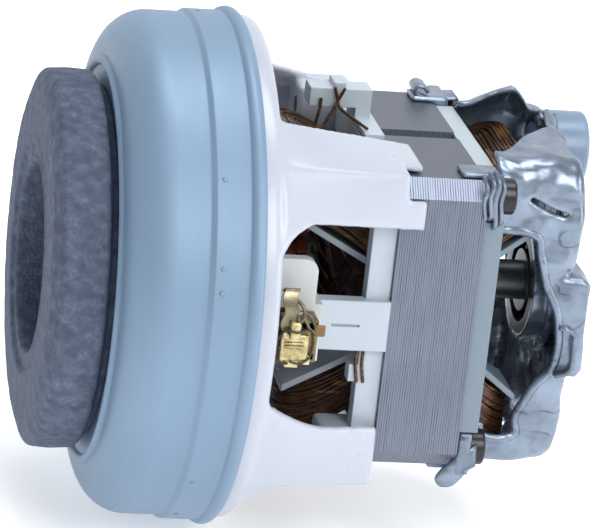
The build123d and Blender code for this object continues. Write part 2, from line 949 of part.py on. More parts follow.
def brush_tube():
    body = tube_box(tube_wall, -tube_outer_end, -tube_inner_end)
    body -= tube_box(0, -tube_outer_end, -tube_inner_end)
    face = -tube_outer_end - tube_wall
    half_x = brush_width / 2
    half_z = brush_height / 2 + brush_slack + tube_wall
    body += block(
        (brush_x - half_x, brush_x + half_x), (face, -tube_outer_end),
        (-cap_face_height / 2, cap_face_height / 2),
    )
    for side in SIDES:
        centre = brush_x - side * cap_tab_width / 2
        body += block(
            (centre - cap_tab_width / 2, centre + cap_tab_width / 2), (face, -tube_outer_end),
            (side * cap_face_height / 2, side * half_z),
        )
    return body


def brush_cradle():
    low_x = flange_front + spoke_thickness + seat_gap
    half_z = brush_height / 2 + brush_slack + tube_wall + cradle_wall
    body = block((low_x, cradle_rear), (-cradle_outer_end, -cradle_inner_end), (-half_z, half_z))
    lug_rear = cradle_rear - cradle_wall
    lug_low = half_z - seat_gap
    lug_face = clip_centre()[0] + clip_radius + seat_gap
    lug = block((low_x, lug_rear), (lug_face, lug_face + lug_thickness), (lug_low, half_z + lug_height))
    lug = fillet(lug.edges().filter_by(Axis.Y).group_by(Axis.Z)[-1], lug_thickness)
    body += lug
    return body - tube_box(tube_wall + seat_gap, -cradle_outer_end - overrun, -cradle_inner_end + overrun)


def brush_spring():
    start = commutator_radius + brush_contact_gap + brush_length + spring_wire / 2
    end = tube_outer_end - spring_wire / 2
    helix = Helix(pitch=(end - start) / spring_turns, height=end - start, radius=spring_radius)
    profile = Plane(origin=helix @ 0, z_dir=helix % 0) * Circle(spring_wire / 2)
    coil = sweep(profile, path=helix)
    return Pos(brush_x, -start, 0) * Rot(X=90) * coil


def clip_centre():
    """The (y, z) centre of the strip's roll, which rests on the brush tube."""
    face = tube_outer_end + tube_wall + seat_gap
    half_z = brush_height / 2 + brush_slack + tube_wall
    return clip_radius - clip_sheet - face, half_z + seat_gap + clip_radius


def brush_clip():
    """A rolled strip that holds the lead on the end of the brush tube."""
    centre_y, centre_z = clip_centre()
    roll = Circle(clip_radius) - Circle(clip_radius - clip_sheet)
    roll -= Pos(-clip_radius, -clip_radius) * Rectangle(2 * clip_radius, 2 * clip_radius)
    low_x = brush_x - clip_width / 2
    body = along_x(Pos(centre_y, centre_z) * roll, low_x, low_x + clip_width)
    outer = centre_y - clip_radius
    body += block(
        (low_x, low_x + clip_width),
        (outer, outer + clip_sheet),
        (centre_z - clip_radius - clip_leg, centre_z),
    )
    return body


def pigtail():
    """The braided lead that leaves the clip and loops past the end of the brush tube."""
    half_x = brush_width / 2 + brush_slack + tube_wall
    half_z = brush_height / 2 + brush_slack + tube_wall
    lift = pigtail_wire * pigtail_lift_share
    side_x = brush_x - half_x - lift
    y = -(cradle_outer_end + tube_outer_end) / 2
    points = [
        (brush_x - clip_width / 2 - seat_gap, y, half_z + lift),
        (side_x, y, half_z + lift),
        (side_x, y, -half_z - lift),
        (brush_x, y, -half_z - pigtail_wire / 2 - seat_gap),
    ]
    return tube(points, pigtail_bend_share * pigtail_wire, pigtail_wire)[0]


# Leads

def near_lead_wires():
    back = stack_front - seat_gap
    x = back - side_bar_thickness
    y = -(stack_half_depth - insulator_edge) - field_wire / 2 - seat_gap
    high = -terminal_arm_half_height
    low = high - 2 * post_size
    wires = []
    for shift in (-field_wire, field_wire):
        points = [(x + shift, y, high), (x + shift, y, (high + low) / 2), (x + shift + field_wire, y, low)]
        wires.append(tube(points, field_bend_radius / 2, field_wire)[0])
    return wires


def top_lead_wires():
    front = stack_front - seat_gap - insulator_thickness
    lip_low = stack_half_height + seat_gap
    bridge_top = lip_low + top_lip_height + wire_bridge_height + wire_bridge_height / 2
    near_y = top_lip_depth / 4 - field_wire
    top = bridge_top + top_lip_height / 2
    middle = front - wire_bridge_length / 2
    coil_top = field_levels(field_turns - 1)[1] + field_wire
    routes = (
        [(middle, near_y, top), (middle + 2 * field_wire, near_y, bridge_top - wire_bridge_height),
         (front + field_wire, -top_lip_depth / 4, lip_low + top_lip_height + field_wire)],
        [(middle + 3 * field_wire, near_y - field_wire - seat_gap, top),
         (middle, near_y - field_wire - seat_gap, bridge_top - wire_bridge_height),
         (middle - 3 * field_wire, near_y - 2 * field_wire, coil_top)],
        [(middle - 4 * field_wire, near_y, bridge_top - wire_bridge_height / 2),
         (middle - 4 * field_wire, near_y, bridge_top - wire_bridge_height),
         (middle - 5 * field_wire, near_y, coil_top)],
    )
    return [tube(points, 2 * field_wire, field_wire)[0] for points in routes]


# Rear bracket

def bonnet(inset):
    """The bracket's pressed body, made smaller by an inset on every side."""
    half_y = bonnet_half_width - inset
    half_z = bonnet_half_height - inset
    rear = bonnet_rear - inset
    front = bonnet_front if inset == 0 else bonnet_front - overrun
    corner = bonnet_corner - inset
    edge = bonnet_edge - inset
    body = along_x(RectangleRounded(2 * half_y, 2 * half_z, corner), front, rear)
    body = fillet(body.faces().sort_by(Axis.X)[-1].edges(), edge)
    rib_rear = rear + rib_depth
    rib_half = rib_half_height - inset
    slope = rib_depth / 2
    rib = outline(
        (rear - edge, rib_half - rib_drop),
        (rib_rear - slope, rib_half - rib_drop),
        (rib_rear, rib_half - slope - rib_drop),
        (rib_rear, slope - rib_half - rib_drop),
        (rib_rear - slope, -rib_half - rib_drop),
        (rear - edge, -rib_half - rib_drop),
    )
    return body + along_y(rib, -half_y, half_y)


def bonnet_point(share):
    return stack_rear + bonnet_depth * share[0], bonnet_half_height * share[1]


def roof_point(share):
    return stack_rear + bonnet_depth * share[0], bonnet_half_width * share[1]


def bracket_foot(side_y, side_z):
    front = stack_rear + seat_gap
    wall = bonnet_half_width - bracket_sheet
    outer_y = stack_half_depth - foot_margin
    outer_z = stack_half_height + ear_thickness + seat_gap
    low_z = screw_z - screw_head_radius - foot_margin
    pad = block(
        (front, front + foot_thickness),
        (side_y * wall, side_y * outer_y),
        (side_z * low_z, side_z * outer_z),
    )
    pad += block(
        (front, bonnet_front + foot_thickness), (side_y * wall, side_y * bonnet_half_width),
        (side_z * low_z, side_z * (bonnet_half_height - bonnet_corner)),
    )
    ear_low = outer_z - ear_thickness
    pad += block(
        (front - ear_length, front + foot_thickness),
        (side_y * (outer_y - stack_chamfer - ear_width), side_y * (outer_y - stack_chamfer)),
        (side_z * ear_low, side_z * outer_z),
    )
    place = (side_y * screw_y, side_z * screw_z)
    return pad - rod(front - overrun, front + overrun, screw_radius + seat_gap, *place)


def rear_bracket():
    body = bonnet(0) - bonnet(bracket_sheet)
    front = bonnet_front - overrun
    window = outline(
        (front, bonnet_half_height * window_top_share),
        *[bonnet_point(share) for share in window_shares],
        (front, bonnet_half_height * window_bottom_share),
    )
    body -= along_y(window, -bonnet_half_width - overrun, bonnet_half_width + overrun)
    roof = outline(
        (front, roof_point(roof_window_shares[0])[1]),
        *[roof_point(share) for share in roof_window_shares],
        (front, roof_point(roof_window_shares[-1])[1]),
    )
    body -= along_z(roof, -bonnet_half_height - overrun, bonnet_half_height + overrun)
    slot_x, slot_z = bonnet_point(window_shares[1])
    slot_z = (slot_z + bonnet_half_height) / 2
    slot = Pos(slot_x, 0, slot_z) * Rot(Y=slot_angle) * Box(slot_length, 2 * overrun, slot_width)
    body -= Pos(0, -bonnet_half_width, 0) * slot
    body -= ring(rear_bearing_x, bonnet_rear + overrun, 0, bearing_radius + bracket_sheet + seat_gap)
    for side_y in SIDES:
        for side_z in SIDES:
            body += bracket_foot(side_y, side_z)
    body -= rod(bonnet_front, bonnet_rear + overrun, plug_stem_radius + seat_gap, *plug_place())
    return body


def rear_bearing_cup():
    """The drawn cup in the bracket's back wall, with a flange that lies against the wall."""
    end = rear_bearing_x + bearing_width
    outer = bearing_radius + bracket_sheet
    wall = bonnet_rear - bracket_sheet - seat_gap
    cup = ring(rear_bearing_x, end + bracket_sheet, cup_hole_radius, outer)
    cup += ring(wall - bracket_sheet, wall, bearing_radius, outer + cup_flange)
    return cup - ring(rear_bearing_x - overrun, end, 0, bearing_radius)


def plug_place():
    return bonnet_half_width * plug_share_y, bonnet_half_height * plug_share_z


def rear_plug():
    y, z = plug_place()
    start = bonnet_rear + seat_gap
    end = start + plug_height
    body = rod(start, end, plug_radius, y, z)
    body = fillet(body.faces().sort_by(Axis.X)[-1].edges(), plug_edge)
    inside = bonnet_rear - bracket_sheet - seat_gap
    body += rod(inside - plug_collar_height, start + seat_gap, plug_stem_radius, y, z)
    body += rod(inside - plug_collar_height, inside, plug_collar_radius, y, z)
    return body


def corner_screws():
    seat = stack_rear + 2 * seat_gap + foot_thickness
    screws = []
    for side_y in SIDES:
        for side_z in SIDES:
            y, z = side_y * screw_y, side_z * screw_z
            head = rod(seat, seat + screw_head_height, screw_head_radius, y, z)
            head = fillet(head.faces().sort_by(Axis.X)[-1].edges(), screw_head_height / 6)
            socket = Pos(0, y, z) * along_x(
                RegularPolygon(screw_socket_radius, 6), seat + screw_head_height - screw_socket_depth,
                seat + screw_head_height + overrun,
            )
            shank = rod(stack_front - boss_length + clear_gap, seat + seat_gap, screw_radius, y, z)
            screws.append(head - socket + shank)
    return screws


def main():
    os.makedirs("parts", exist_ok=True)
    save("inlet_seal_ring", inlet_seal_ring())
    save("shroud", shroud())
    save("inlet_collar", inlet_collar())
    save("impeller_front_disc", impeller_front_disc())
    save("impeller_back_disc", impeller_back_disc())
    save("impeller_blades", impeller_blades())
    save("impeller_hub_washer", impeller_hub_washer())
    save("shaft_spacer", shaft_spacer())
    save("nut_washer", nut_washer())
    save("fan_nut", fan_nut())
    save("diffuser", diffuser())
    save("motor_frame", motor_frame())
    save("shaft", shaft())
    for name, start in (("front", front_bearing_x), ("rear", rear_bearing_x)):
        outer, inner = bearing_rings(start)
        save(name + "_bearing_outer_ring", outer)
        save(name + "_bearing_inner_ring", inner)
        save(name + "_bearing_balls", ball_set(start))
        save(name + "_bearing_cage", ball_cage(start))
    save("commutator_hub", commutator_hub())
    save("commutator_bars", commutator_bars())
    save("armature_core", armature_core())
    save("armature_slot_wedges", armature_slot_wedges())
    save("armature_front_head", head_core(stack_front, -1))
    save("armature_rear_head", head_core(stack_rear, 1))
    save("armature_front_winding", head_winding(stack_front, -1))
    save("armature_rear_winding", head_winding(stack_rear, 1))
    save("stator_core", stator_core())
    for name, side in (("upper", 1), ("lower", -1)):
        save(name + "_field_coil", field_coil(side))
        save(name + "_field_winding", field_winding(side))
    save("front_insulator", front_insulator())
    save("rear_insulator", rear_insulator())
    pieces = (
        ("brush", brush), ("brush_tube", brush_tube), ("brush_cradle", brush_cradle),
        ("brush_spring", brush_spring), ("brush_clip", brush_clip), ("brush_pigtail", pigtail),
    )
    for name, side in (("near", -1), ("far", 1)):
        for piece, make in pieces:
            save(name + "_" + piece, brush_frame(make(), side))
    save("near_lead_wires", near_lead_wires())
    save("top_lead_wires", top_lead_wires())
    save("rear_bracket", rear_bracket())
    save("rear_bearing_cup", rear_bearing_cup())
    save("rear_plug", rear_plug())
    save("corner_screws", corner_screws())


main()
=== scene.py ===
import random
from math import cos, hypot, pi, radians, sin, sqrt

import bmesh
import bpy
from bpy.props import FloatProperty, FloatVectorProperty, IntProperty, PointerProperty
from mathutils import Matrix, Vector, noise


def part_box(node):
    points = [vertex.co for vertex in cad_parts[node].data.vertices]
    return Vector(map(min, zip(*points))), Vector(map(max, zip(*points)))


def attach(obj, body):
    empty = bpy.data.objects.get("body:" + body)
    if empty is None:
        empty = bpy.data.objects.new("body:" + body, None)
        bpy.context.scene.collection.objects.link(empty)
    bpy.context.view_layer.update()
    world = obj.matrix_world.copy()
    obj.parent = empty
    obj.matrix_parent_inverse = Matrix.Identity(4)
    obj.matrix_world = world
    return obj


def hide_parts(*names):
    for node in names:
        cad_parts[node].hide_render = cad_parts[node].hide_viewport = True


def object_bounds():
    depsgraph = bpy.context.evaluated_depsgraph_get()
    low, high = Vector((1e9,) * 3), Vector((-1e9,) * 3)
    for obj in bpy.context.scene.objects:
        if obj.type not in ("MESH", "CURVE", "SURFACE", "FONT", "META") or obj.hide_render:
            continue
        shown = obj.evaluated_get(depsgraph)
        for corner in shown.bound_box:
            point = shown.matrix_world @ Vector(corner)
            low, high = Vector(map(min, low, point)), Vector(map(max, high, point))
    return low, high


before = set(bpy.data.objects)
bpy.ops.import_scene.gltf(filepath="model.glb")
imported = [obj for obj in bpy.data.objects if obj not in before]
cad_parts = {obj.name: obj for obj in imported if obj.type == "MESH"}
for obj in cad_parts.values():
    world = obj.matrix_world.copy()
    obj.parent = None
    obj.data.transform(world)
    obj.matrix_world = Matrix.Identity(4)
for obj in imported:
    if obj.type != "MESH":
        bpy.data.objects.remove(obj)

bl_info = {
    "name": "Vacuum Motor Unit",
    "version": (1, 0, 0),
    "blender": (4, 5, 0),
    "location": "View3D > Sidebar > Motor",
    "description": "Materials and visible detail for a vacuum cleaner's motor unit",
    "category": "Object",
}

# One millimetre in Blender's metres
MM = 0.001
CAD_LOW, CAD_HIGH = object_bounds()
STACK_FRONT, STACK_REAR = (corner.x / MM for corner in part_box("stator_core"))
SHEET_PITCH = 0.5
ARMATURE_WIRE = 0.6
NOISE_SEED = 11


# Node helpers

def put(value, socket, tree):
    if isinstance(value, bpy.types.NodeSocket):
        tree.links.new(value, socket)
    else:
        socket.default_value = value


def add(tree, kind, inputs=(), **fields):
    """Adds a node, sets its fields, and links or sets its inputs by name or number."""
    made = tree.nodes.new("ShaderNode" + kind)
    for key, value in fields.items():
        setattr(made, key, value)
    for key, value in dict(inputs).items():
        put(value, made.inputs[key], tree)
    return made


def maths(tree, operation, *values):
    made = tree.nodes.new("ShaderNodeMath")
    made.operation = operation
    for index, value in enumerate(values):
        put(value, made.inputs[index], tree)
    return made.outputs[0]


def blend_colours(tree, amount, first, second):
    made = tree.nodes.new("ShaderNodeMix")
    made.data_type = "RGBA"
    put(amount, made.inputs[0], tree)
    put(first, made.inputs[6], tree)
    put(second, made.inputs[7], tree)
    return made.outputs[2]


def place(tree, stretch=(1, 1, 1)):
    """Coordinates in metres in the object's own frame, stretched by a scale."""
    source = tree.nodes.new("ShaderNodeTexCoord").outputs["Object"]
    if tuple(stretch) == (1, 1, 1):
        return source
    return add(tree, "Mapping", {"Vector": source, "Scale": stretch}).outputs[0]


def grains(tree, scale, stretch=(1, 1, 1), detail=4.0, distortion=0.0):
    inputs = {"Vector": place(tree, stretch), "Scale": scale, "Detail": detail, "Distortion": distortion}
    return add(tree, "TexNoise", inputs).outputs[0]


def window(tree, value, low, high, to_low=0.0, to_high=1.0):
    inputs = {"Value": value, "From Min": low, "From Max": high, "To Min": to_low, "To Max": to_high}
    return add(tree, "MapRange", inputs).outputs[0]


def group(name, inputs, outputs, build):
    """Makes a shader node group once and returns it afterwards."""
    if name in bpy.data.node_groups:
        return bpy.data.node_groups[name]
    tree = bpy.data.node_groups.new(name, "ShaderNodeTree")
    for label, kind, default in inputs:
        socket = tree.interface.new_socket(label, in_out="INPUT", socket_type="NodeSocket" + kind)
        socket.default_value = default
    for label, kind in outputs:
        tree.interface.new_socket(label, in_out="OUTPUT", socket_type="NodeSocket" + kind)
    source = tree.nodes.new("NodeGroupInput")
    target = tree.nodes.new("NodeGroupOutput")
    for label, socket in build(tree, source.outputs).items():
        tree.links.new(socket, target.inputs[label])
    return tree


def use(tree, made, **inputs):
    node = tree.nodes.new("ShaderNodeGroup")
    node.node_tree = made
    for key, value in inputs.items():
        put(value, node.inputs[key], tree)
    return node.outputs


def clouds(tree, source):
    wide = add(tree, "TexNoise", {
        "Vector": place(tree), "Scale": source["Scale"], "Detail": 5.0, "Roughness": 0.6})
    low = maths(tree, "SUBTRACT", 0.5, source["Softness"])
    high = maths(tree, "ADD", 0.5, source["Softness"])
    amount = window(tree, wide.outputs[0], low, high)
    return {"Colour": blend_colours(tree, amount, source["Dark"], source["Light"]), "Amount": amount}


def cloud_group():
    inputs = (("Light", "Color", (1, 1, 1, 1)), ("Dark", "Color", (0, 0, 0, 1)),
              ("Scale", "Float", 60.0), ("Softness", "Float", 0.2))
    return group("Clouded colour", inputs, (("Colour", "Color"), ("Amount", "Float")), clouds)


def soft_edges(tree, source):
    bevel = add(tree, "Bevel", {"Radius": source["Radius"]}, samples=6)
    return {"Normal": bevel.outputs[0]}


def edge_group():
    return group("Soft edges", (("Radius", "Float", 0.0003),), (("Normal", "Vector"),), soft_edges)


def sheet_lines(tree, source):
    """Masks for the gaps between stacked sheets, for level faces and for slanting ones."""
    axis = add(tree, "SeparateXYZ", {"Vector": place(tree)}).outputs[0]
    share = maths(tree, "FRACT", maths(tree, "DIVIDE", axis, source["Pitch"]))
    edge = maths(tree, "ABSOLUTE", maths(tree, "SUBTRACT", share, 0.5))
    line = window(tree, edge, 0.25, 0.48)
    normal = add(tree, "NewGeometry").outputs["Normal"]
    lean = add(tree, "SeparateXYZ", {"Vector": normal}).outputs[2]
    upward = maths(tree, "ABSOLUTE", lean)
    strength = window(tree, upward, 0.74, 0.92, 1.0, 0.22)
    flat = window(tree, upward, 0.8, 0.97)
    slant = maths(tree, "MULTIPLY", window(tree, lean, 0.35, 0.6), maths(tree, "SUBTRACT", 1.0, flat))
    return {"Line": maths(tree, "MULTIPLY", line, strength), "Upward": flat, "Slant": slant}


def sheet_group():
    outputs = (("Line", "Float"), ("Upward", "Float"), ("Slant", "Float"))
    return group("Stacked sheets", (("Pitch", "Float", SHEET_PITCH * MM),), outputs, sheet_lines)


# Materials

def rgba(colour):
    return (*colour, 1.0)


def scaled(colour, share):
    """A colour made lighter or darker by a share."""
    return [value * share for value in colour]


def base_material(name, **constants):
    """A material with a Principled BSDF whose constant sockets are set directly."""
    material = bpy.data.materials.new(name)
    material.use_nodes = True
    shader = material.node_tree.nodes["Principled BSDF"]
    for key, value in constants.items():
        shader.inputs[key.replace("_", " ")].default_value = value
    return material, material.node_tree, shader


def finish_shader(tree, shader, colour, roughness, height, depth, edge):
    """Links colour, roughness, and a bump over softened edges."""
    put(colour, shader.inputs["Base Color"], tree)
    put(roughness, shader.inputs["Roughness"], tree)
    normal = use(tree, edge_group(), Radius=edge * MM)["Normal"]
    bump = add(tree, "Bump", {"Height": height, "Normal": normal, "Strength": 1.0, "Distance": depth * MM})
    tree.links.new(bump.outputs[0], shader.inputs["Normal"])


def surface(
    name, light, dark, metal=0.0, rough=(0.35, 0.5), scale=45.0, softness=0.25, grain=900.0,
    stretch=(1, 1, 1), depth=0.02, edge=0.35, **constants
):
    """A material whose colour clouds slowly and whose grain shows in roughness and bump."""
    material, tree, shader = base_material(name, Metallic=metal, **constants)
    tint = use(tree, cloud_group(), Light=rgba(light), Dark=rgba(dark), Scale=scale, Softness=softness)
    fine = grains(tree, grain, stretch)
    spots = grains(tree, grain * 0.13, stretch, 2.0)
    roughness = window(tree, maths(tree, "ADD", maths(tree, "MULTIPLY", fine, 0.5), spots), 0.5, 1.0, *rough)
    finish_shader(tree, shader, tint["Colour"], roughness, fine, depth, edge)
    return material


def foam_material(name, light, dark, dust):
    """Cellular rubber with pores and a whitish dusting."""
    material, tree, shader = base_material(name, Specular_IOR_Level=0.25)
    tint = use(tree, cloud_group(), Light=rgba(light), Dark=rgba(dark), Scale=420.0, Softness=0.24)
    patches = window(tree, grains(tree, 460.0, (0.9, 1.0, 1.0), 8.0), 0.40, 0.72)
    flecks = window(tree, grains(tree, 1900.0, detail=4.0), 0.36, 0.70)
    amount = maths(tree, "MULTIPLY", patches, window(tree, flecks, 0.0, 1.0, 0.20, 0.75))
    colour = blend_colours(tree, amount, tint["Colour"], rgba(dust))
    pores = add(tree, "TexVoronoi", {"Vector": place(tree), "Scale": 1500.0}).outputs[0]
    lumps = grains(tree, 260.0, detail=3.0)
    height = maths(tree, "ADD", maths(tree, "MULTIPLY", pores, 0.35), lumps)
    finish_shader(tree, shader, colour, window(tree, amount, 0.0, 1.0, 0.72, 0.95), height, 0.35, 0.6)
    return material


def sheets_material(name, light, dark, line):
    """A stack of thin steel sheets that lie square to X, with a painted highlight on upward-slanting faces
    and painted shade on level faces.
    """
    material, tree, shader = base_material(name, Metallic=0.55)
    tint = use(tree, cloud_group(), Light=rgba(light), Dark=rgba(dark), Scale=70.0, Softness=0.3)
    sheets = use(tree, sheet_group(), Pitch=SHEET_PITCH * MM)
    uneven = window(tree, grains(tree, 420.0, (4.0, 0.25, 0.25), 2.0), 0.3, 0.7, 0.35, 1.0)
    amount = maths(tree, "MULTIPLY", sheets["Line"], uneven)
    # Painted highlight: upward-slanting faces, such as the top chamfer, are blended toward a much lighter
    # colour.
    bright = rgba([min(value, 1.0) for value in scaled(light, 2.4)])
    slant_highlight = blend_colours(tree, maths(tree, "MULTIPLY", sheets["Slant"], 0.8), tint["Colour"], bright)
    striped = blend_colours(tree, amount, slant_highlight, rgba(line))
    # Painted shade: level faces, such as the stack's top, are blended toward a darker colour.
    level_face_shade = maths(tree, "MULTIPLY", sheets["Upward"], 0.85)
    colour = blend_colours(tree, level_face_shade, striped, rgba(scaled(light, 0.50)))
    height = maths(tree, "SUBTRACT", 1.0, amount)
    finish_shader(tree, shader, colour, window(tree, amount, 0.0, 1.0, 0.38, 0.6), height, 0.05, 0.2)
    return material


def wire_material(name, light, dark, glint):
    """Enamelled wire: each strand catches the light a little differently."""
    material, tree, shader = base_material(name, Metallic=0.45, Coat_Weight=0.35, Coat_Roughness=0.2)
    tint = use(tree, cloud_group(), Light=rgba(light), Dark=rgba(dark), Scale=650.0, Softness=0.18)
    shine = window(tree, grains(tree, 1000.0, (0.16, 0.16, 1.0), 2.0), 0.56, 0.74)
    colour = blend_colours(tree, shine, tint["Colour"], rgba(glint))
    roughness = window(tree, shine, 0.0, 1.0, 0.5, 0.26)
    finish_shader(tree, shader, colour, roughness, grains(tree, 1500.0), 0.03, 0.1)
    return material


def bracket_material(name, light, dark):
    """Zinc-plated sheet: spangled colour, soft dents, draw marks, and dark lines of painted shade along
    creases.
    """
    material, tree, shader = base_material(name, Metallic=0.72, Specular_IOR_Level=0.6)
    tint = use(tree, cloud_group(), Light=rgba(light), Dark=rgba(dark), Scale=120.0, Softness=0.14)
    dents = grains(tree, 95.0, detail=2.0, distortion=0.4)
    marks = grains(tree, 600.0, (0.2, 1.0, 1.0), 3.0)
    height = maths(tree, "ADD", dents, maths(tree, "MULTIPLY", marks, 0.03))
    roughness = window(tree, marks, 0.3, 0.7, 0.22, 0.38)
    waves = grains(tree, 80.0, (0.7, 1.0, 1.3), 2.0, 0.6)
    folds = maths(tree, "ABSOLUTE", maths(tree, "SUBTRACT", waves, 0.5))
    patches = window(tree, grains(tree, 170.0), 0.42, 0.62)
    # Painted shade: thin dark lines along the folds of a noise pattern stand in for shade in the sheet's
    # creases.
    crease_shade = maths(tree, "MULTIPLY", window(tree, folds, 0.0, 0.018, 0.75, 0.0), patches)
    colour = blend_colours(tree, crease_shade, tint["Colour"], rgba(scaled(light, 0.16)))
    finish_shader(tree, shader, colour, roughness, height, 1.6, 0.7)
    return material


def shaded_plastic(name, lit_colour, painted_shade):
    """Plastic in its own colour at the top, with painted shade that darkens it farther down."""
    shade_top, lit_bottom = 21.5, 25.0
    material, tree, shader = base_material(name)
    # Painted shade: below a height the colour darkens, where the lower strip lies in shadow.
    rise = add(tree, "SeparateXYZ", {"Vector": place(tree)}).outputs[2]
    amount = window(tree, rise, shade_top * MM, lit_bottom * MM)
    colour = blend_colours(tree, amount, rgba(painted_shade), rgba(lit_colour))
    fine = grains(tree, 420.0)
    finish_shader(tree, shader, colour, window(tree, fine, 0.3, 0.7, 0.35, 0.5), fine, 0.03, 0.4)
    return material


# Mesh helpers

def own(name, data, material, body):
    """Adds an object that rides on a body and takes the given material."""
    piece = bpy.data.objects.new(name, data)
    bpy.context.scene.collection.objects.link(piece)
    data.materials.append(material)
    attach(piece, body)
    return piece


def mesh_of(name, bm, smooth=True):
    bmesh.ops.recalc_face_normals(bm, faces=bm.faces)
    mesh = bpy.data.meshes.new(name)
    bm.to_mesh(mesh)
    bm.free()
    for polygon in mesh.polygons:
        polygon.use_smooth = smooth
    return mesh


def solid(name, bm, material, body, smooth=True):
    """Turns a finished bmesh into a piece of its own."""
    return own(name, mesh_of(name, bm, smooth), material, body)


def skin(bm, rows, capped=True):
    """Joins each closed row of points to the next with faces, and caps both ends."""
    for first, second in zip(rows, rows[1:]):
        for index in range(len(first)):
            ahead = (index + 1) % len(first)
            bm.faces.new((first[index], first[ahead], second[ahead], second[index]))
    if capped:
        bm.faces.new(rows[0])
        bm.faces.new(rows[-1])


def lathe(bm, profile, segments):
    """Turns a closed outline of (x, radius) points in millimetres about the shaft's axis."""
    rings = []
    for index in range(segments):
        turn = 2 * pi * index / segments
        rings.append([bm.verts.new(Vector((x, -r * sin(turn), r * cos(turn))) * MM) for x, r in profile])
    skin(bm, [*rings, rings[0]], False)


def rounded(points, radius, steps=4, closed=True):
    """Rounds the corners of an outline of (x, y) points."""
    out = []
    count = len(points)
    for index, point in enumerate(points):
        if not closed and index in (0, count - 1):
            out.append(point)
            continue
        before, after = Vector(points[index - 1]), Vector(points[(index + 1) % count])
        corner = Vector(point)
        first, second = before - corner, after - corner
        reach = min(radius, first.length * 0.45, second.length * 0.45)
        start, end = corner + first.normalized() * reach, corner + second.normalized() * reach
        for step in range(steps + 1):
            share = step / steps
            out.append(tuple(start.lerp(corner, share).lerp(corner.lerp(end, share), share)))
    return out


def wires(name, routes, diameter, material, body, cyclic=False):
    """Round wires along lists of points in millimetres."""
    curve = bpy.data.curves.new(name, "CURVE")
    curve.dimensions = "3D"
    curve.bevel_depth = diameter / 2 * MM
    curve.bevel_resolution = 2
    curve.use_fill_caps = not cyclic
    for route in routes:
        spline = curve.splines.new("POLY")
        spline.points.add(len(route) - 1)
        for point, (x, y, z) in zip(spline.points, route):
            point.co = (x * MM, y * MM, z * MM, 1)
        spline.use_cyclic_u = cyclic
        spline.use_smooth = True
    return own(name, curve, material, body)


def fine_mesh(node, name, voxel, rounds, move=None, tools=(), grow=0.0):
    """A finer copy of a node's shape with softened edges; tools cut or fill it, move may shift each point."""
    source = bpy.data.objects.new("fine_source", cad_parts[node].data.copy())
    bpy.context.scene.collection.objects.link(source)
    helpers = []
    for operation, mesh in tools:
        helper = bpy.data.objects.new("fine_tool", mesh)
        bpy.context.scene.collection.objects.link(helper)
        helpers.append(helper)
        cut = source.modifiers.new("tool", "BOOLEAN")
        cut.operation = operation
        cut.object = helper
        cut.solver = "EXACT"
    remesh = source.modifiers.new("fine", "REMESH")
    remesh.mode = "VOXEL"
    remesh.voxel_size = voxel * MM
    graph = bpy.context.evaluated_depsgraph_get()
    fine = bpy.data.meshes.new_from_object(source.evaluated_get(graph))
    for spare in (source, *helpers):
        bpy.data.objects.remove(spare)
    bm = bmesh.new()
    bm.from_mesh(fine)
    for _ in range(rounds):
        bmesh.ops.smooth_vert(
            bm, verts=bm.verts, factor=0.5, use_axis_x=True, use_axis_y=True, use_axis_z=True)
    if grow:
        bm.normal_update()
        for vert in bm.verts:
            vert.co += vert.normal * grow * MM
    if move:
        for vert in bm.verts:
            vert.co = move(vert.co)
    return mesh_of(name, bm)


def smooth_route(points, steps=6):
    """A Catmull-Rom line through points."""
    spots = [Vector(point) for point in points]
    spots = [spots[0] * 2 - spots[1], *spots, spots[-1] * 2 - spots[-2]]
    out = []
    for index in range(1, len(spots) - 2):
        a, b, c, d = spots[index - 1:index + 3]
        for step in range(steps):
            t = step / steps
            out.append(0.5 * (2 * b + (c - a) * t + (2 * a - 5 * b + 4 * c - d) * t ** 2
                              + (3 * b - a - 3 * c + d) * t ** 3))
    out.append(spots[-2])
    return out


def smooth_pairs(points):
    """A smooth line through (x, z) points."""
    return [(spot.x, spot.z) for spot in smooth_route([(x, 0, z) for x, z in points], 5)]


def bent_sheet(bm, line, thickness, low_y, high_y):
    """A bent strip of sheet: a line of (x, z) points given a thickness and a width along Y."""
    spots = [Vector(point) for point in line]
    outer, inner = [], []
    for index, spot in enumerate(spots):
        along = (spots[min(index + 1, len(spots) - 1)] - spots[max(index - 1, 0)]).normalized()
        across = Vector((-along.y, along.x)) * thickness / 2
        outer.append(spot + across)
        inner.append(spot - across)
    outline = [*outer, *reversed(inner)]
    middles = [*spots, *reversed(spots)]
    inset = min(0.4, thickness * 0.3)
    rows = []
    for y, share in ((low_y, 0.8), (low_y + inset, 1.0), (high_y - inset, 1.0), (high_y, 0.8)):
        points = [middle.lerp(spot, share) for middle, spot in zip(middles, outline)]
        rows.append([bm.verts.new((point.x * MM, y * MM, point.y * MM)) for point in points])
    skin(bm, rows, False)
    for row in (rows[0], rows[-1]):
        for index in range(len(spots) - 1):
            bm.faces.new((row[index], row[index + 1], row[-2 - index], row[-1 - index]))


def dress(material, *nodes):
    """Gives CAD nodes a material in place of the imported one."""
    for node in nodes:
        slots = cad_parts[node].material_slots
        if not slots:
            raise RuntimeError("no material slot on " + node)
        for entry in slots:
            entry.link = "OBJECT"
            entry.material = material


def settings():
    return bpy.context.scene.motor_unit


# Pieces

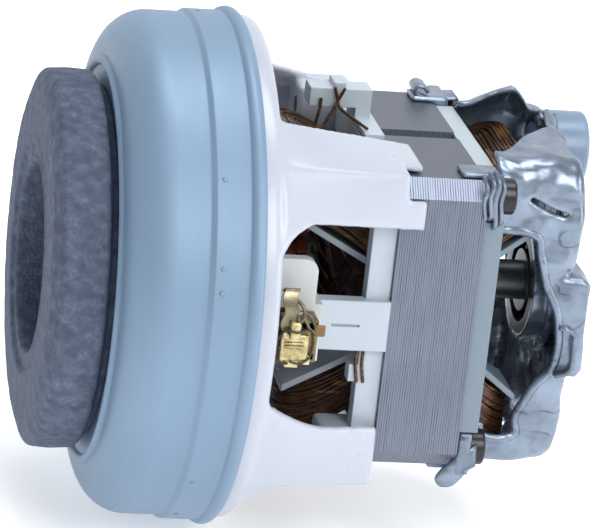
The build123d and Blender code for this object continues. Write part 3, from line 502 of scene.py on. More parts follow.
class MotorUnitSettings(bpy.types.PropertyGroup):
    """Sizes and colours of the visible detail."""

    seal_wobble: FloatProperty(
        name="Seal wobble", description="How far the seal's face wanders", default=0.00018,
        min=0.0, subtype="DISTANCE", unit="LENGTH")
    seal_colour: FloatVectorProperty(
        name="Seal", description="Colour of the cellular rubber", default=(0.043, 0.054, 0.082),
        size=3, subtype="COLOR", min=0.0, max=1.0)
    shroud_colour: FloatVectorProperty(
        name="Shroud", description="Colour of the shroud's plating", default=(0.215, 0.318, 0.445),
        size=3, subtype="COLOR", min=0.0, max=1.0)
    frame_colour: FloatVectorProperty(
        name="Frame", description="Colour of the moulded frame", default=(0.48, 0.51, 0.59),
        size=3, subtype="COLOR", min=0.0, max=1.0)
    bracket_colour: FloatVectorProperty(
        name="Bracket", description="Colour of the zinc plating", default=(0.275, 0.335, 0.43),
        size=3, subtype="COLOR", min=0.0, max=1.0)
    wire_colour: FloatVectorProperty(
        name="Field wire", description="Colour of the enamelled wire", default=(0.105, 0.042, 0.014),
        size=3, subtype="COLOR", min=0.0, max=1.0)
    field_wire: FloatProperty(
        name="Field wire", description="Diameter of the field coils' wire", default=0.00062,
        min=0.0002, subtype="DISTANCE", unit="LENGTH")
    coil_rows: IntProperty(
        name="Coil rows", description="Rows of wire in a field coil's height", default=17, min=4, max=40)


class MOTOR_OT_seal(bpy.types.Operator):
    """Builds the inlet seal as a soft ring with slightly uneven faces"""

    bl_idname = "motor.seal"
    bl_label = "Inlet seal"

    def execute(self, context):
        low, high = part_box("inlet_seal_ring")
        depth = (high.x - low.x) / MM
        outer = (high.y - low.y) / 2 / MM
        bore = 18.9
        recess = [
            (1.5, bore + 0.05), (0.9, bore + 0.3), (0.55, bore + 0.8), (0.95, bore + 1.4),
            (1.0, bore + 3.7), (0.4, bore + 4.1), (0.0, bore + 4.7), (0.3, bore + 5.7),
        ]
        side = [
            (0.35, outer - 4.7), (1.9, outer - 0.25), (6.5, outer),
            (depth - 2.2, outer - 0.3), (depth - 1.4, outer - 2.9), (depth, outer - 3.0),
        ]
        inside = [(depth, bore + 0.1), (depth, bore), (4.0, bore)]
        bm = bmesh.new()
        lathe(bm, rounded([*recess, *side, *inside], 1.0), 220)
        face_depth, face_radius, side_radius = 1.7, 25.5, outer - 4.0
        wobble = settings().seal_wobble
        for vert in bm.verts:
            lift = abs(noise.noise(vert.co * 130.0) + 0.5 * noise.noise(vert.co * 420.0)) * wobble
            away = hypot(vert.co.y, vert.co.z)
            if vert.co.x < face_depth * MM and away > face_radius * MM:
                vert.co.x = max(vert.co.x + lift, 0.0)
            elif away > side_radius * MM:
                vert.co -= Vector((0, vert.co.y, vert.co.z)).normalized() * lift
        base = settings().seal_colour
        material = foam_material("seal_rubber", scaled(base, 2.1), scaled(base, 1.25), (0.21, 0.25, 0.35))
        piece = solid("inlet_seal_foam", bm, material, "root")
        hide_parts("inlet_seal_ring")
        return {"FINISHED"}


class MOTOR_OT_shroud(bpy.types.Operator):
    """Finishes the shroud and adds the crimps round its band"""

    bl_idname = "motor.shroud"
    bl_label = "Shroud"

    def execute(self, context):
        base = settings().shroud_colour
        material = surface(
            "shroud_steel", base, scaled(base, 0.88), metal=0.22, rough=(0.42, 0.54), scale=18.0,
            grain=700.0, stretch=(1.0, 0.15, 0.15), depth=0.012, edge=0.5, Coat_Weight=0.06,
            Coat_Roughness=0.4)
        dress(material, "shroud", "inlet_collar")
        crimp_x, band_radius = 30.6, 51.1
        crimp_width, crimp_height = 0.55 * MM, 0.22 * MM
        bm = bmesh.new()
        for angle in (53.0, 72.5, 77.7, 128.0, 147.5, 203.0, 222.5, 278.0, 297.5, 352.0):
            turn = radians(angle)
            spot = Vector((crimp_x, -band_radius * sin(turn), band_radius * cos(turn))) * MM
            shape = Matrix.Translation(spot) @ Matrix.Rotation(turn, 4, "X")
            shape = shape @ Matrix.Diagonal((crimp_width, crimp_width, crimp_height, 1))
            bmesh.ops.create_uvsphere(bm, u_segments=14, v_segments=8, radius=1.0, matrix=shape)
        solid("shroud_crimps", bm, material, "root")
        return {"FINISHED"}


def window_corner():
    """The round upper corner of the near window, as a cutting bar along Y."""
    centre = Vector((49.2, -42.0, 15.6)) * MM
    radius, length = 6.8 * MM, 15.0 * MM
    shape = Matrix.Translation(centre) @ Matrix.Rotation(pi / 2, 4, "X")
    bm = bmesh.new()
    bmesh.ops.create_cone(
        bm, cap_ends=True, segments=64, radius1=radius, radius2=radius, depth=length, matrix=shape)
    return mesh_of("window_corner", bm, False)


def window_web():
    """The sloping web that closes the near window's lower corner, on the frame's cone."""
    cone_front, cone_radius, cone_slope, thickness = 43.0, 48.9, 0.335, 1.9
    edges = (
        (43.6, -13.0, -23.0), (46.5, -15.0, -23.5), (50.2, -17.2, -24.0),
        (53.5, -18.6, -24.0), (56.7, -19.8, -24.0), (60.0, -20.6, -24.0),
    )
    bm = bmesh.new()
    loops = []
    for x, high, low in edges:
        outer = cone_radius - cone_slope * (x - cone_front)
        heights = (high, (high + low) / 2, low)
        loop = []
        for radius, order in ((outer, heights), (outer - thickness, heights[::-1])):
            loop += [bm.verts.new((x * MM, -sqrt(radius ** 2 - z ** 2) * MM, z * MM)) for z in order]
        loops.append(loop)
    skin(bm, loops)
    return mesh_of("window_web", bm, False)


class MOTOR_OT_frame(bpy.types.Operator):
    """Finishes the moulded frame and the diffuser"""

    bl_idname = "motor.frame"
    bl_label = "Moulded frame"

    def execute(self, context):
        base = settings().frame_colour
        gloss = {
            "scale": 30.0, "grain": 350.0, "Coat_Weight": 0.2, "Coat_Roughness": 0.15,
            "Subsurface_Weight": 0.08, "Subsurface_Scale": 0.004,
        }
        plastic = surface(
            "frame_plastic", base, scaled(base, 0.95), rough=(0.22, 0.34), depth=0.008, edge=0.7, **gloss)
        dress(plastic, "diffuser")
        tools = (("DIFFERENCE", window_corner()), ("UNION", window_web()))
        shape = fine_mesh("motor_frame", "moulded_frame", voxel=0.45, rounds=12, tools=tools, grow=0.1)
        moulding = surface(
            "frame_moulding", base, scaled(base, 0.96), rough=(0.26, 0.36), depth=0.006, edge=0.02, **gloss)
        piece = own("moulded_frame", shape, moulding, "root")
        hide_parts("motor_frame")
        return {"FINISHED"}


class MOTOR_OT_fan(bpy.types.Operator):
    """Finishes the impeller, the shaft and the bearings"""

    bl_idname = "motor.fan"
    bl_label = "Fan, shaft and bearings"

    def execute(self, context):
        bright = surface(
            "fan_aluminium", (0.66, 0.67, 0.69), (0.52, 0.53, 0.55), metal=0.9, rough=(0.28, 0.42),
            grain=900.0, stretch=(1.0, 0.2, 0.2), depth=0.01)
        dress(bright, "impeller_front_disc", "impeller_back_disc", "impeller_blades", "impeller_hub_washer")
        steel = surface(
            "turned_steel", (0.58, 0.59, 0.61), (0.40, 0.41, 0.43), metal=0.95, rough=(0.2, 0.36),
            grain=1600.0, stretch=(1.0, 0.1, 0.1), depth=0.01, edge=0.25)
        dress(
            steel, "nut_washer", "fan_nut", "front_bearing_outer_ring", "front_bearing_inner_ring",
            "front_bearing_cage", "near_brush_spring", "far_brush_spring")
        # Painted shade: a much darker copy of the turned steel for the shaft and rear bearing, which lie in
        # shadow.
        shade_steel = surface(
            "shade_darkened_steel", (0.17, 0.18, 0.19), (0.09, 0.095, 0.10), metal=0.8, rough=(0.3, 0.45),
            grain=1600.0, stretch=(1.0, 0.1, 0.1), depth=0.01, edge=0.25)
        dress(
            shade_steel, "shaft", "shaft_spacer", "rear_bearing_outer_ring", "rear_bearing_inner_ring",
            "rear_bearing_cage")
        polished = surface(
            "ball_steel", (0.78, 0.79, 0.81), (0.66, 0.67, 0.69), metal=1.0, rough=(0.06, 0.12),
            grain=2000.0, depth=0.002, edge=0.1)
        dress(polished, "front_bearing_balls", "rear_bearing_balls")
        return {"FINISHED"}


def head_routes(start, direction, seed):
    """Wires that cross an armature's winding head from slot to slot."""
    slots, slot_span, strands, steps = 12, 5, 9, 14
    rim_radius, waist = 14.6, 4.2
    maker = random.Random(seed)
    routes = []
    for slot in range(slots):
        for strand in range(strands):
            spread = (strand - strands // 2) * 0.035
            first = 2 * pi * slot / slots + spread
            second = first + 2 * pi * slot_span / slots - 2 * spread
            layer = (slot % 3) * 1.1 + maker.uniform(-0.2, 0.2)
            reach = 4.2 + layer + strand * 0.25
            route = []
            for step in range(steps + 1):
                share = step / steps
                angle = first + (second - first) * share
                swell = sin(pi * share)
                radius = rim_radius - waist * swell ** 1.5 + maker.uniform(-0.06, 0.06)
                x = start + direction * (0.3 + reach * swell ** 0.55)
                route.append((x, radius * cos(angle), radius * sin(angle)))
            routes.append(route)
    return routes


def winding_head(name, start, direction, core, enamel):
    """One winding head of the armature: a varnished body under crossing strands."""
    end = start + direction * 9.3
    profile = [(start, 4.2), (end, 4.2), (end, 9.5), (start + direction * 4.6, 13.4),
               (start + direction * 0.1, 13.6)]
    bm = bmesh.new()
    lathe(bm, rounded(profile, 1.0), 96)
    body = solid(name + "_winding_body", bm, core, "rotor")
    routes = head_routes(start, direction, 7 + direction)
    strands = wires(name + "_winding_strands", routes, ARMATURE_WIRE, enamel, "rotor")
    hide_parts("armature_" + name + "_head")
    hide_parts("armature_" + name + "_winding")


def commutator_wires(enamel):
    """The wires that run from the commutator's bars back to the winding."""
    bars = 24
    hook_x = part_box("commutator_bars")[1].x / MM
    path = ((-1.2, 13.5, 0.0), (0.8, 13.4, 0.05), (2.2, 12.6, 0.35), (4.4, 12.2, 0.6))
    routes = []
    for index in range(bars):
        angle = 2 * pi * index / bars
        route = []
        for along, radius, lean in path:
            turn = angle + lean
            route.append((hook_x + along, radius * cos(turn), radius * sin(turn)))
        routes.append(smooth_route(route, 4))
    wires("commutator_wires", routes, ARMATURE_WIRE, enamel, "rotor")


class MOTOR_OT_rotor(bpy.types.Operator):
    """Finishes the armature and commutator, and winds the armature's heads"""

    bl_idname = "motor.rotor"
    bl_label = "Armature and commutator"

    def execute(self, context):
        sheets = sheets_material(
            "armature_sheets", (0.30, 0.30, 0.32), (0.18, 0.18, 0.19), (0.05, 0.05, 0.05))
        dress(sheets, "armature_core")
        dress(surface("slot_liner", (0.30, 0.10, 0.07), (0.16, 0.05, 0.04)), "armature_slot_wedges")
        dress(surface("moulded_black", (0.06, 0.04, 0.04), (0.03, 0.02, 0.02)), "commutator_hub")
        copper = surface(
            "commutator_copper", (0.34, 0.09, 0.05), (0.16, 0.03, 0.02), metal=0.85, rough=(0.22, 0.4),
            scale=260.0, grain=1200.0, stretch=(0.2, 1, 1), depth=0.02, edge=0.15)
        dress(copper, "commutator_bars")
        # Painted shade: the armature's enamel and varnish are near black, for the armature lies in shadow
        # inside the stator.
        enamel = wire_material(
            "armature_enamel", (0.055, 0.013, 0.009), (0.02, 0.005, 0.004), (0.17, 0.05, 0.025))
        core = surface("armature_varnish", (0.02, 0.006, 0.005), (0.01, 0.004, 0.003), rough=(0.45, 0.6))
        winding_head("front", STACK_FRONT, -1, core, enamel)
        winding_head("rear", STACK_REAR, 1, core, enamel)
        commutator_wires(enamel)
        return {"FINISHED"}


def coil_outline(front, rear, half, corner):
    """An oblong of (x, y) points with round corners, about 2.5 mm apart on its straight sides."""
    spots = []
    for x, y, quarter in (
        (front + corner, -half + corner, 2), (rear - corner, -half + corner, 3),
        (rear - corner, half - corner, 0), (front + corner, half - corner, 1),
    ):
        for step in range(7):
            turn = pi / 2 * (quarter + step / 6)
            spots.append((x + corner * cos(turn), y + corner * sin(turn)))
    outline = []
    for index, (x, y) in enumerate(spots):
        ahead = spots[(index + 1) % len(spots)]
        count = max(1, int(hypot(ahead[0] - x, ahead[1] - y) / 2.5))
        for step in range(count):
            outline.append((x + (ahead[0] - x) * step / count, y + (ahead[1] - y) * step / count))
    return outline


def coil_loop(side, lift, inset, maker):
    """One closed turn of a field coil: lift is its height in the slot, inset its depth from outside."""
    box_low, box_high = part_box("upper_field_winding")
    half_wire, corner, least_corner = 0.33, 7.6, 2.0
    front, rear = box_low.x / MM + half_wire + inset, box_high.x / MM - half_wire - inset
    half = box_high.y / MM - half_wire - inset
    bend_front, bend_rear = STACK_FRONT - 1.2, STACK_REAR + 1.2
    end_rise, bore_clear, head_clear = 9.0, 22.0, 19.0
    shift = maker.uniform(0, 40)
    route = []
    for x, y in coil_outline(front, rear, half, max(corner - inset, least_corner)):
        if x < bend_front:
            slope = (bend_front - x) / (bend_front - (front - inset))
        elif x > bend_rear:
            slope = (x - bend_rear) / ((rear + inset) - bend_rear)
        else:
            slope = 0.0
        loose = min(1.0, slope * 3.0)
        z = lift + end_rise * (slope + 0.12 * sin(pi * min(slope, 1.0)))
        z += 0.45 * noise.noise(Vector((x * 0.09, y * 0.09, shift))) * loose
        pull = 0.35 * noise.noise(Vector((x * 0.11, y * 0.11, shift + 9.0))) * loose
        y *= 1 - abs(pull) / bore_clear
        clear = bore_clear if STACK_FRONT - 1.5 < x < STACK_REAR + 1.5 else head_clear
        reach = hypot(y, z)
        if reach < clear:
            y, z = y * clear / reach, z * clear / reach
        route.append((x, y, side * z))
    return route


class MOTOR_OT_field_coils(bpy.types.Operator):
    """Winds both field coils with loose-lying enamelled wire"""

    bl_idname = "motor.field_coils"
    bl_label = "Field coils"

    def execute(self, context):
        base = settings().wire_colour
        material = wire_material("field_enamel", base, scaled(base, 0.30), (0.34, 0.17, 0.055))
        rows = settings().coil_rows
        diameter = settings().field_wire / MM
        slot_floor, slot_height = 9.75, 9.5
        for name, side, seed in (("upper", 1, 3), ("lower", -1, 5)):
            maker = random.Random(seed)
            routes = []
            for row in range(rows):
                lift = slot_floor + slot_height * row / (rows - 1)
                edge = min(row, rows - 1 - row)
                layers = 13 if edge == 0 else 9 if edge == 1 else 3
                for layer in range(layers):
                    inset = layer * diameter * 1.02 + maker.uniform(0.0, 0.22)
                    routes.append(coil_loop(side, lift + maker.uniform(-0.12, 0.12), inset, maker))
            piece = wires(name + "_coil_strands", routes, diameter, material, "root", True)
            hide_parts(name + "_field_coil", name + "_field_winding")
        dress(material, "near_lead_wires", "top_lead_wires")
        return {"FINISHED"}


class MOTOR_OT_stator(bpy.types.Operator):
    """Finishes the stator's stack and its insulators"""

    bl_idname = "motor.stator"
    bl_label = "Stator and insulators"

    def execute(self, context):
        sheets = sheets_material(
            "stator_sheets", (0.205, 0.23, 0.29), (0.155, 0.18, 0.235), (0.05, 0.06, 0.082))
        dress(sheets, "stator_core")
        white = surface(
            "insulator_plastic", (0.50, 0.56, 0.62), (0.43, 0.49, 0.55), rough=(0.3, 0.45), scale=60.0,
            grain=420.0, depth=0.03, edge=0.4)
        dress(white, "front_insulator")
        # Painted shade: the rear insulator's lower part is painted darker.
        painted_shade = shaded_plastic("rear_insulator_plastic", (0.46, 0.53, 0.56), (0.19, 0.245, 0.295))
        dress(painted_shade, "rear_insulator")
        return {"FINISHED"}


def lump(bm, low, high, bevel):
    """A box between two corners in millimetres with rounded edges."""
    low, high = Vector(low), Vector(high)
    shape = Matrix.Translation((low + high) / 2 * MM) @ Matrix.Diagonal((*((high - low) * MM), 1))
    made = bmesh.ops.create_cube(bm, size=1.0, matrix=shape)
    edges = list({edge for vert in made["verts"] for edge in vert.link_edges})
    bmesh.ops.bevel(bm, geom=edges, offset=bevel * MM, segments=3, affect="EDGES", profile=0.6)


def brush_cap(brass):
    """The ridged cap on the near brush tube, with its lugs."""
    bm = bmesh.new()
    lump(bm, (43.9, -45.6, -3.7), (49.3, -44.3, 1.7), 0.35)
    lump(bm, (45.4, -46.2, 0.9), (47.5, -44.6, 4.3), 0.45)
    lump(bm, (44.9, -45.4, -5.0), (47.7, -44.4, -3.2), 0.3)
    lump(bm, (48.6, -45.3, -4.4), (50.0, -44.4, -2.4), 0.3)
    for rise in (0.75, 0.05, -0.65):
        lump(bm, (44.5, -45.95, rise - 0.24), (48.4, -45.3, rise + 0.24), 0.18)
    solid("near_brush_cap", bm, brass, "root")


def spring_strip(steel):
    """The flat spring that bends over the cap, and the curled wire beside it."""
    front, rear, half = 43.9, 46.8, 0.2
    fall = smooth_route([
        (0, -41.8, 9.3), (0, -42.9, 10.3), (0, -43.8, 9.3), (0, -44.5, 7.0), (0, -44.6, 4.4),
        (0, -44.8, 2.4), (0, -45.6, 0.9)], 5)
    bm = bmesh.new()
    rows = []
    for spot in fall:
        lean = 0.35 * sin(spot.z * 1.3)
        corners = ((front, -half), (rear, -half), (rear, half), (front, half))
        rows.append([bm.verts.new(Vector((x + lean, spot.y + y, spot.z)) * MM) for x, y in corners])
    skin(bm, rows)
    strip = solid("near_spring_strip", bm, steel, "root", False)
    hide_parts("near_brush_clip")
    curls = [
        [(46.6, -43.6, 8.2), (47.8, -44.4, 7.0), (48.1, -44.8, 5.2), (47.2, -44.9, 4.2), (46.9, -44.6, 5.6),
         (48.6, -44.3, 5.9), (49.9, -44.6, 4.4), (50.6, -44.8, 2.8)],
        [(46.9, -43.9, 6.2), (48.4, -44.9, 4.6), (49.2, -45.0, 3.0), (50.4, -44.9, 2.2)],
    ]
    wires("near_spring_curls", [smooth_route(route) for route in curls], 0.75, steel, "root")


def brush_leads():
    """The thin leads round the near cap, and the brown tab that they end on."""
    dark = surface("lead_sleeve", (0.10, 0.06, 0.045), (0.04, 0.025, 0.02), metal=0.4, rough=(0.25, 0.4))
    leads = [
        [(50.0, -45.0, 2.4), (48.6, -45.9, 2.9), (46.6, -46.5, 2.5), (44.8, -46.0, 2.8), (43.7, -45.4, 1.6),
         (43.2, -45.0, -0.4), (43.3, -45.0, -2.6), (44.0, -45.5, -4.0), (45.6, -45.9, -4.0)],
        [(43.4, -44.6, 3.8), (42.9, -44.8, 1.2), (42.8, -44.8, -1.8), (43.0, -44.7, -4.6),
         (44.4, -44.9, -5.6)],
        [(50.0, -45.0, 2.0), (50.3, -45.2, 0.2), (50.1, -45.2, -1.8), (49.4, -45.7, -3.1),
         (47.6, -46.0, -3.9), (45.8, -45.8, -3.6)],
    ]
    wires("near_brush_leads", [smooth_route(route) for route in leads], 0.45, dark, "root")
    bm = bmesh.new()
    lump(bm, (50.2, -45.3, 1.5), (52.4, -44.5, 3.7), 0.3)
    brown = surface(
        "terminal_brown", (0.26, 0.15, 0.06), (0.14, 0.08, 0.035), metal=0.5, rough=(0.3, 0.45))
    solid("near_terminal_tab", bm, brown, "root")


class MOTOR_OT_brush_gear(bpy.types.Operator):
    """Finishes the brushes, tubes, cradles, clips and leads"""

    bl_idname = "motor.brush_gear"
    bl_label = "Brush gear"

    def execute(self, context):
        brass = surface(
            "cap_brass", (0.64, 0.57, 0.32), (0.30, 0.22, 0.085), metal=0.65, rough=(0.22, 0.38),
            scale=520.0, softness=0.14, depth=0.05, edge=0.25)
        brush_cap(brass)
        steel = surface(
            "clip_steel", (0.30, 0.27, 0.18), (0.07, 0.06, 0.035), metal=0.8, rough=(0.2, 0.36),
            scale=240.0, depth=0.03, edge=0.2)
        spring_strip(steel)
        brush_leads()
        dress(steel, "far_brush_clip")
        # Painted shade: the tubes' brass is much darker than the cap's, for the tubes lie in shadow.
        shaded_brass = surface(
            "tube_brass", (0.30, 0.24, 0.12), (0.12, 0.085, 0.04), metal=0.7, rough=(0.28, 0.42),
            scale=300.0, depth=0.02, edge=0.25)
        grey = surface("cradle_plastic", (0.62, 0.63, 0.63), (0.50, 0.51, 0.51), edge=0.5)
        carbon = surface("brush_carbon", (0.07, 0.07, 0.07), (0.03, 0.03, 0.03), rough=(0.5, 0.7))
        braid = wire_material("pigtail_copper", (0.20, 0.08, 0.04), (0.06, 0.02, 0.015), (0.42, 0.20, 0.10))
        for side in ("near", "far"):
            dress(shaded_brass, side + "_brush_tube")
            dress(grey, side + "_brush_cradle")
            dress(carbon, side + "_brush")
            dress(braid, side + "_brush_pigtail")
        return {"FINISHED"}


def ramp(value, low, high):
    """0 up to low, 1 from high on, and a straight rise between them."""
    return min(1.0, max(0.0, (value - low) / (high - low)))


def press(spot):
    """Moves a point of the bracket as the deep-drawn sheet wanders: folds, dents and puckers."""
    flange_x, dome_x, bearing_radius = 88.0, 99.0, 14.5
    plug_y, plug_z, plug_radius = 15.7, 23.7, 8.5
    x, y, z = spot / MM
    away = hypot(y, z)
    free = ramp(x, flange_x, flange_x + 4.0) * ramp(away, bearing_radius, bearing_radius + 4.0)
    plug = ramp(hypot(y - plug_y, z - plug_z), plug_radius, plug_radius + 3.0)
    free *= 1 - (1 - plug) * ramp(x, dome_x, dome_x + 3.5)
    broad = noise.noise_vector(spot * 62.0)
    tight = noise.noise_vector(spot * 170.0 + Vector((3.1, 0, 0)))
    fold = abs(noise.noise(spot * 85.0)) - 0.25
    inward = Vector((-0.8, -0.9 * y / max(away, 1), -0.6 * z / max(away, 1)))
    lip = ramp(z, 23.0, 30.0) * ramp(y, 4.0, 14.0) * ramp(x, flange_x, 101.0)
    move = Vector((0, 0, 4.3 * lip)) + broad * 1.5 + tight * 0.55 + inward * fold
    return spot + move * free * MM


def ear_lobe(bm):
    """The near lower corner's ear, beaten flat into a lobe."""
    edge = smooth_route([
        (88.6, 0, -24.4), (85.8, 0, -26.0), (84.0, 0, -28.0), (81.9, 0, -30.2), (81.0, 0, -32.2),
        (82.2, 0, -33.7), (84.4, 0, -33.6), (86.0, 0, -32.0), (87.2, 0, -30.2), (88.8, 0, -29.0)], 4)
    middle = Vector((84.6, 0, -29.8))
    layers = []
    for y, share in ((-32.0, 0.82), (-31.7, 1.0), (-30.9, 1.0), (-30.6, 0.84)):
        row = []
        for spot in edge:
            point = middle.lerp(spot, share)
            bend = 0.9 * max(0.0, (-30.0 - point.z) / 5.0) ** 2
            row.append(bm.verts.new(Vector((point.x, y + bend, point.z)) * MM))
        layers.append(row)
    skin(bm, layers)


def knob(bm):
    """The crumpled knob of sheet beside the plug."""
    centre = Vector((105.0, 9.5, 31.2)) * MM
    shape = Matrix.Translation(centre) @ Matrix.Diagonal((2.6 * MM, 2.6 * MM, 2.5 * MM, 1))
    made = bmesh.ops.create_icosphere(bm, subdivisions=4, radius=1.0, matrix=shape)
    for vert in made["verts"]:
        away = (vert.co - centre).normalized()
        dent = abs(noise.noise(vert.co * 420.0)) + 0.5 * abs(noise.noise(vert.co * 1100.0))
        vert.co -= away * dent * 1.7 * MM


def curled_ears(zinc):
    """The sheet that sticks out of the bracket: a curled ear, a lobe, a folded facet and a knob."""
    upper_ear = [
        (89.4, 30.6), (87.0, 30.4), (84.6, 30.4), (82.4, 30.5), (80.9, 31.1), (80.5, 32.0), (81.2, 32.7),
        (82.6, 32.4), (83.2, 31.5),
    ]
    facet = [(103.8, -1.2), (106.2, -1.7), (107.3, -2.8), (107.4, -9.4), (106.4, -10.8), (104.2, -11.4)]
    bm = bmesh.new()
    bent_sheet(bm, smooth_pairs(upper_ear), 0.8, 23.2, 28.8)
    ear_lobe(bm)
    bent_sheet(bm, facet, 0.9, -26.2, -22.4)
    knob(bm)
    solid("bracket_curled_ears", bm, zinc, "root")


def ear_folds(zinc):
    """The upright ridges where the near upper ear is gathered."""
    ridges = []
    for x, y, low, high in (
        (83.9, -32.7, 21.8, 30.6), (84.9, -33.3, 22.6, 31.6), (85.9, -33.4, 21.0, 31.9),
        (87.1, -32.9, 21.6, 31.0),
    ):
        ridges.append(smooth_route([
            (x - 0.6, y + 1.6, high + 0.5), (x + 0.1, y - 0.1, high - 1.6), (x - 0.2, y, (low + high) / 2),
            (x + 0.3, y + 0.1, low + 1.2), (x + 0.2, y + 1.4, low)], 5))
    wires("bracket_ear_folds", ridges, 1.0, zinc, "root")


def bracket_rims(zinc):
    """The rolled edges along both sides of the bracket's strap."""
    half_width = 23.3
    rim = [(88.6, 17.8), (97.4, 16.8), (99.6, 12.8), (104.0, 0.4), (103.8, -10.2), (97.8, -20.8),
           (97.4, -24.6), (88.6, -25.0)]
    routes = []
    for y in (-half_width, half_width):
        route = smooth_route([(x, y, z) for x, z in rim], 8)
        routes.append([press(point * MM) / MM for point in route])
    wires("bracket_rims", routes, 1.9, zinc, "root")


class MOTOR_OT_bracket(bpy.types.Operator):
    """Finishes the rear bracket, its plug and the corner screws"""

    bl_idname = "motor.bracket"
    bl_label = "Rear bracket"

    def execute(self, context):
        base = settings().bracket_colour
        noise.seed_set(NOISE_SEED)
        zinc = bracket_material("bracket_steel", base, scaled(base, 0.62))
        shape = fine_mesh("rear_bracket", "bracket_pressing", voxel=0.42, rounds=3, move=press)
        piece = own("bracket_pressing", shape, zinc, "root")
        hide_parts("rear_bracket")
        dress(zinc, "rear_bearing_cup")
        curled_ears(zinc)
        ear_folds(zinc)
        bracket_rims(zinc)
        milky = surface(
            "plug_plastic", (0.205, 0.28, 0.395), (0.165, 0.235, 0.34), rough=(0.25, 0.4), edge=0.6,
            Subsurface_Weight=0.2, Subsurface_Scale=0.004)
        dress(milky, "rear_plug")
        black = surface(
            "screw_black", (0.035, 0.035, 0.04), (0.015, 0.015, 0.018), metal=0.4, rough=(0.28, 0.42),
            depth=0.03, edge=0.3)
        dress(black, "corner_screws")
        return {"FINISHED"}


# Stage

def backdrop(scene):
    """A pale sheet that lies flat, curves up behind the unit and rises to a wall."""
    floor_z = CAD_LOW.z - 0.2 * MM
    front, back, half_width, bend = -2.0, 3.0, 4.0, 0.6
    outline = [(front, floor_z), (back - 1.0, floor_z), (back - 0.3, floor_z + 0.3), (back, floor_z + 1.0),
               (back, floor_z + 3.0)]
    bm = bmesh.new()
    rails = []
    for side in (-half_width, half_width):
        rails.append([bm.verts.new((side, y, z)) for y, z in rounded(outline, bend, 8, False)])
    left, right = rails
    for index in range(len(left) - 1):
        bm.faces.new((left[index], right[index], right[index + 1], left[index + 1]))
    floor = bpy.data.objects.new("floor", mesh_of("floor", bm))
    floor.data.materials.append(surface(
        "floor_paper", (0.93, 0.93, 0.94), (0.91, 0.91, 0.92), rough=(0.8, 0.9), scale=3.0, grain=60.0,
        depth=0.01, edge=0.1, Emission_Color=(1, 1, 1, 1), Emission_Strength=0.42))
    scene.collection.objects.link(floor)


def studio(scene):
    """A cool room with soft bright and dim cards for the metal to mirror."""
    world = bpy.data.worlds.new("studio")
    world.use_nodes = True
    tree = world.node_tree
    background = tree.nodes["Background"]
    around = tree.nodes.new("ShaderNodeTexCoord").outputs["Generated"]
    cards = add(tree, "TexNoise", {"Vector": around, "Scale": 2.2, "Detail": 1.0}).outputs[0]
    put(window(tree, cards, 0.40, 0.60, 0.16, 0.72), background.inputs["Strength"], tree)
    put((0.90, 0.95, 1.0, 1), background.inputs["Color"], tree)
    scene.world = world


def area_light(name, spot, target, size, energy, colour=(1, 1, 1)):
    """A soft lamp at a spot, in metres, that faces a target."""
    light = bpy.data.lights.new(name, "AREA")
    light.shape = "RECTANGLE"
    light.size, light.size_y = size
    light.energy = energy
    light.color = colour
    lamp = bpy.data.objects.new(name, light)
    bpy.context.scene.collection.objects.link(lamp)
    lamp.location = spot
    lamp.rotation_mode = "QUATERNION"
    lamp.rotation_quaternion = (Vector(target) - Vector(spot)).to_track_quat("-Z", "Y")


def camera_view(scene):
    """The camera, which looks at the unit from the photograph's side."""
    target = Vector((55.56, 0, 1.03)) * MM
    away = Vector((-0.1983, -0.9302, 0.3089)).normalized()
    right = Vector((0.9790, -0.1730, 0.1077))
    right = (right - away * right.dot(away)).normalized()
    distance = 0.95
    camera = bpy.data.objects.new("camera", bpy.data.cameras.new("camera"))
    scene.collection.objects.link(camera)
    camera.data.lens = 283.2
    camera.data.sensor_width = 36.0
    camera.data.clip_start = 0.01
    camera.data.clip_end = 50.0
    turn = Matrix((right, away.cross(right), away)).transposed().to_4x4()
    camera.matrix_world = Matrix.Translation(target + away * distance) @ turn
    scene.camera = camera


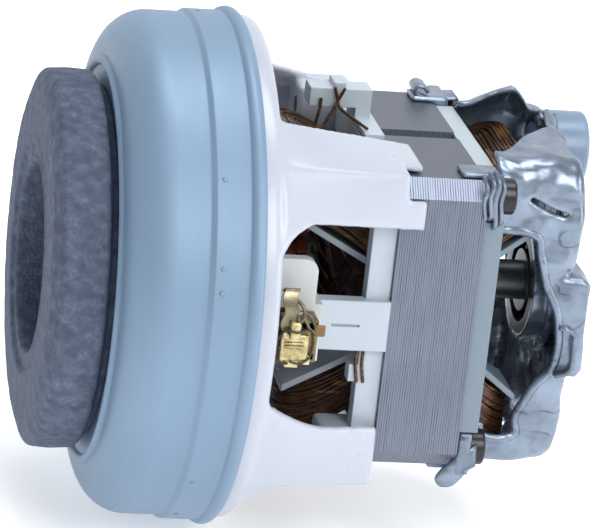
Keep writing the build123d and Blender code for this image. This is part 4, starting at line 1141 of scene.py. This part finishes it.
class MOTOR_OT_stage(bpy.types.Operator):
    """Sets up the floor, the lights and the camera"""

    bl_idname = "motor.stage"
    bl_label = "Stage"

    def execute(self, context):
        scene = context.scene
        backdrop(scene)
        studio(scene)
        middle = (0.055, 0.0, 0.0)
        area_light("key", (0.30, -0.80, 0.60), middle, (0.35, 0.5), 4.4, (1.0, 0.99, 0.97))
        area_light("top", (0.15, 0.1, 0.9), middle, (0.7, 0.3), 4.8, (0.95, 0.98, 1.0))
        area_light("side", (0.85, -0.35, 0.25), middle, (0.15, 0.6), 2.2)
        camera_view(scene)
        scene.view_settings.view_transform = "Standard"
        return {"FINISHED"}


# Panel and registration

OPERATORS = (
    MOTOR_OT_seal, MOTOR_OT_shroud, MOTOR_OT_frame, MOTOR_OT_fan, MOTOR_OT_rotor, MOTOR_OT_field_coils,
    MOTOR_OT_stator, MOTOR_OT_brush_gear, MOTOR_OT_bracket, MOTOR_OT_stage,
)


class MOTOR_PT_panel(bpy.types.Panel):
    """Lists the pieces of the motor unit"""

    bl_label = "Vacuum motor unit"
    bl_idname = "MOTOR_PT_panel"
    bl_space_type = "VIEW_3D"
    bl_region_type = "UI"
    bl_category = "Motor"

    def draw(self, context):
        for name in MotorUnitSettings.__annotations__:
            self.layout.prop(context.scene.motor_unit, name)
        for operator in OPERATORS:
            self.layout.operator(operator.bl_idname)


CLASSES = (MotorUnitSettings, *OPERATORS, MOTOR_PT_panel)


def register():
    for entry in CLASSES:
        bpy.utils.register_class(entry)
    bpy.types.Scene.motor_unit = PointerProperty(type=MotorUnitSettings)


def unregister():
    del bpy.types.Scene.motor_unit
    for entry in reversed(CLASSES):
        bpy.utils.unregister_class(entry)


def main():
    register()
    noise.seed_set(NOISE_SEED)
    bpy.ops.motor.seal()
    bpy.ops.motor.shroud()
    bpy.ops.motor.frame()
    bpy.ops.motor.fan()
    bpy.ops.motor.rotor()
    bpy.ops.motor.field_coils()
    bpy.ops.motor.stator()
    bpy.ops.motor.brush_gear()
    bpy.ops.motor.bracket()
    bpy.ops.motor.stage()


if __name__ == "__main__":
    main()
